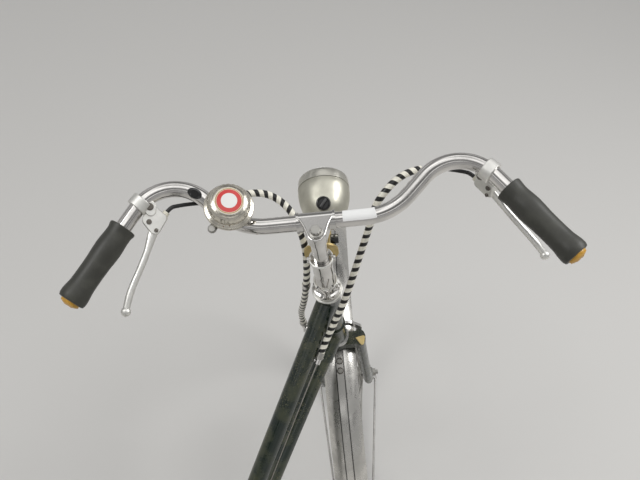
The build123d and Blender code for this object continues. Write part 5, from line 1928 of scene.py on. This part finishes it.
@dataclass
class Stage:
    """The floor, the light and the camera of the photo's view."""

    frame: Matrix
    camera_at: tuple = (-0.4140, -0.2957, 1.6423)
    camera_right: tuple = (0.4581, -0.8855, 0.0765)
    camera_up: tuple = (0.5711, 0.3592, 0.7381)
    focal_length: float = 41.87
    floor_size: float = 14.0
    floor_colour: Colour = (0.62, 0.61, 0.59)
    wall_top: tuple = (0.26, 0.33)
    sky_strength: float = 1.0
    sky_bands: tuple = (
        (0.0, 0.42), (0.26, 0.42), (0.34, 0.10), (0.48, 0.85), (0.60, 0.22), (0.78, 0.30), (0.88, 1.3),
        (1.0, 1.1),
    )
    aim: tuple = (0.1, 0, 0.6)
    lamps: tuple = (
        # name, place, size and power in watts
        ("window", (1.6, -1.8, 2.9), (1.6, 1.0), 42.0), ("ceiling", (-1.4, 1.6, 3.2), (1.2, 1.2), 24.0),
    )

    def build(self) -> None:
        """Build the floor, world, lamps and camera."""
        self._floor()
        self._world()
        self._lamps()
        self._camera()

    def _floor(self) -> None:
        """Lay a plain pale floor."""
        bm = bmesh.new()
        bmesh.ops.create_grid(bm, x_segments=1, y_segments=1, size=self.floor_size / 2)
        mesh = bpy.data.meshes.new("floor")
        bm.to_mesh(mesh)
        bm.free()
        mesh.materials.append(Finish("floor", self.floor_colour, 0.7).build())
        floor = bpy.data.objects.new("floor", mesh)
        bpy.context.scene.collection.objects.link(floor)

    def _world(self) -> None:
        """Light the room with a plain wall all round, and bands of dark and bright above it."""
        graph = Graph.for_world("room")
        ways = graph.output("ShaderNodeTexCoord", "Generated")
        parts = graph.node("ShaderNodeSeparateXYZ", Vector=ways)
        height = Value(graph, parts.outputs["Z"])
        bands = graph.output(
            "ShaderNodeValToRGB", "Color", {"stops": tuple((at, (g, g, g)) for at, g in self.sky_bands)},
            Fac=height,
        )
        uneven = graph.noise(2.2, 1.0, ways).ramp(0.35, 0.65) * 0.8 - 0.55
        patches = 1 + uneven * height.ramp(*self.wall_top)
        room = graph.output(
            "ShaderNodeVectorMath", "Vector", {"operation": "SCALE"}, Vector=[bands], Scale=patches,
        )
        graph.dress(Color=room, Strength=self.sky_strength)

    def _lamps(self) -> None:
        """Hang two soft lamps over the object."""
        for name, at, size, power in self.lamps:
            lamp = bpy.data.lights.new(name, "AREA")
            lamp.shape = "RECTANGLE"
            lamp.size, lamp.size_y = size
            lamp.energy = power
            holder = bpy.data.objects.new(name, lamp)
            holder.location = at
            holder.rotation_euler = (Vector(self.aim) - Vector(at)).to_track_quat("-Z", "Y").to_euler()
            bpy.context.scene.collection.objects.link(holder)

    def _camera(self) -> None:
        """Set the camera where the photo was taken from."""
        lens = bpy.data.cameras.new("photo view")
        lens.lens = self.focal_length
        lens.sensor_width = 36.0
        lens.clip_start = 0.02
        camera = bpy.data.objects.new("photo view", lens)
        right, up = Vector(self.camera_right), Vector(self.camera_up)
        camera.matrix_world = self.frame @ place(self.camera_at, right.cross(up), right)
        bpy.context.scene.collection.objects.link(camera)
        bpy.context.scene.camera = camera


def main() -> None:
    """Dress the bicycle and set the stage."""
    logging.basicConfig(level=logging.INFO, format="%(name)s: %(message)s")
    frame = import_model()
    bpy.context.scene.view_settings.view_transform = "Standard"
    nodes = frame["nodes"]
    layout = Layout.read(frame["joints"])
    bar = BarLine(layout.steering)
    CadDress(nodes, layout).dress()
    Grips(bar).build()
    Levers(bar).build()
    Bell(bar).build()
    Headlamp(layout.steering).build()
    BarTrim(bar, layout.steering).build()
    HeadTrim(layout.steering, layout.front_wheel).build()
    Cables(layout).build()
    Wheel("front", layout.front_wheel, Body.FRONT_WHEEL, 0.060).build()
    Wheel("rear", layout.rear_wheel, Body.REAR_WHEEL, 0.058).build()
    Chain(layout.crank).build()
    Pedals(nodes).build()
    Saddle(nodes, layout.frame).build()
    Stage(layout.frame).build()


if __name__ == "__main__":
    main()
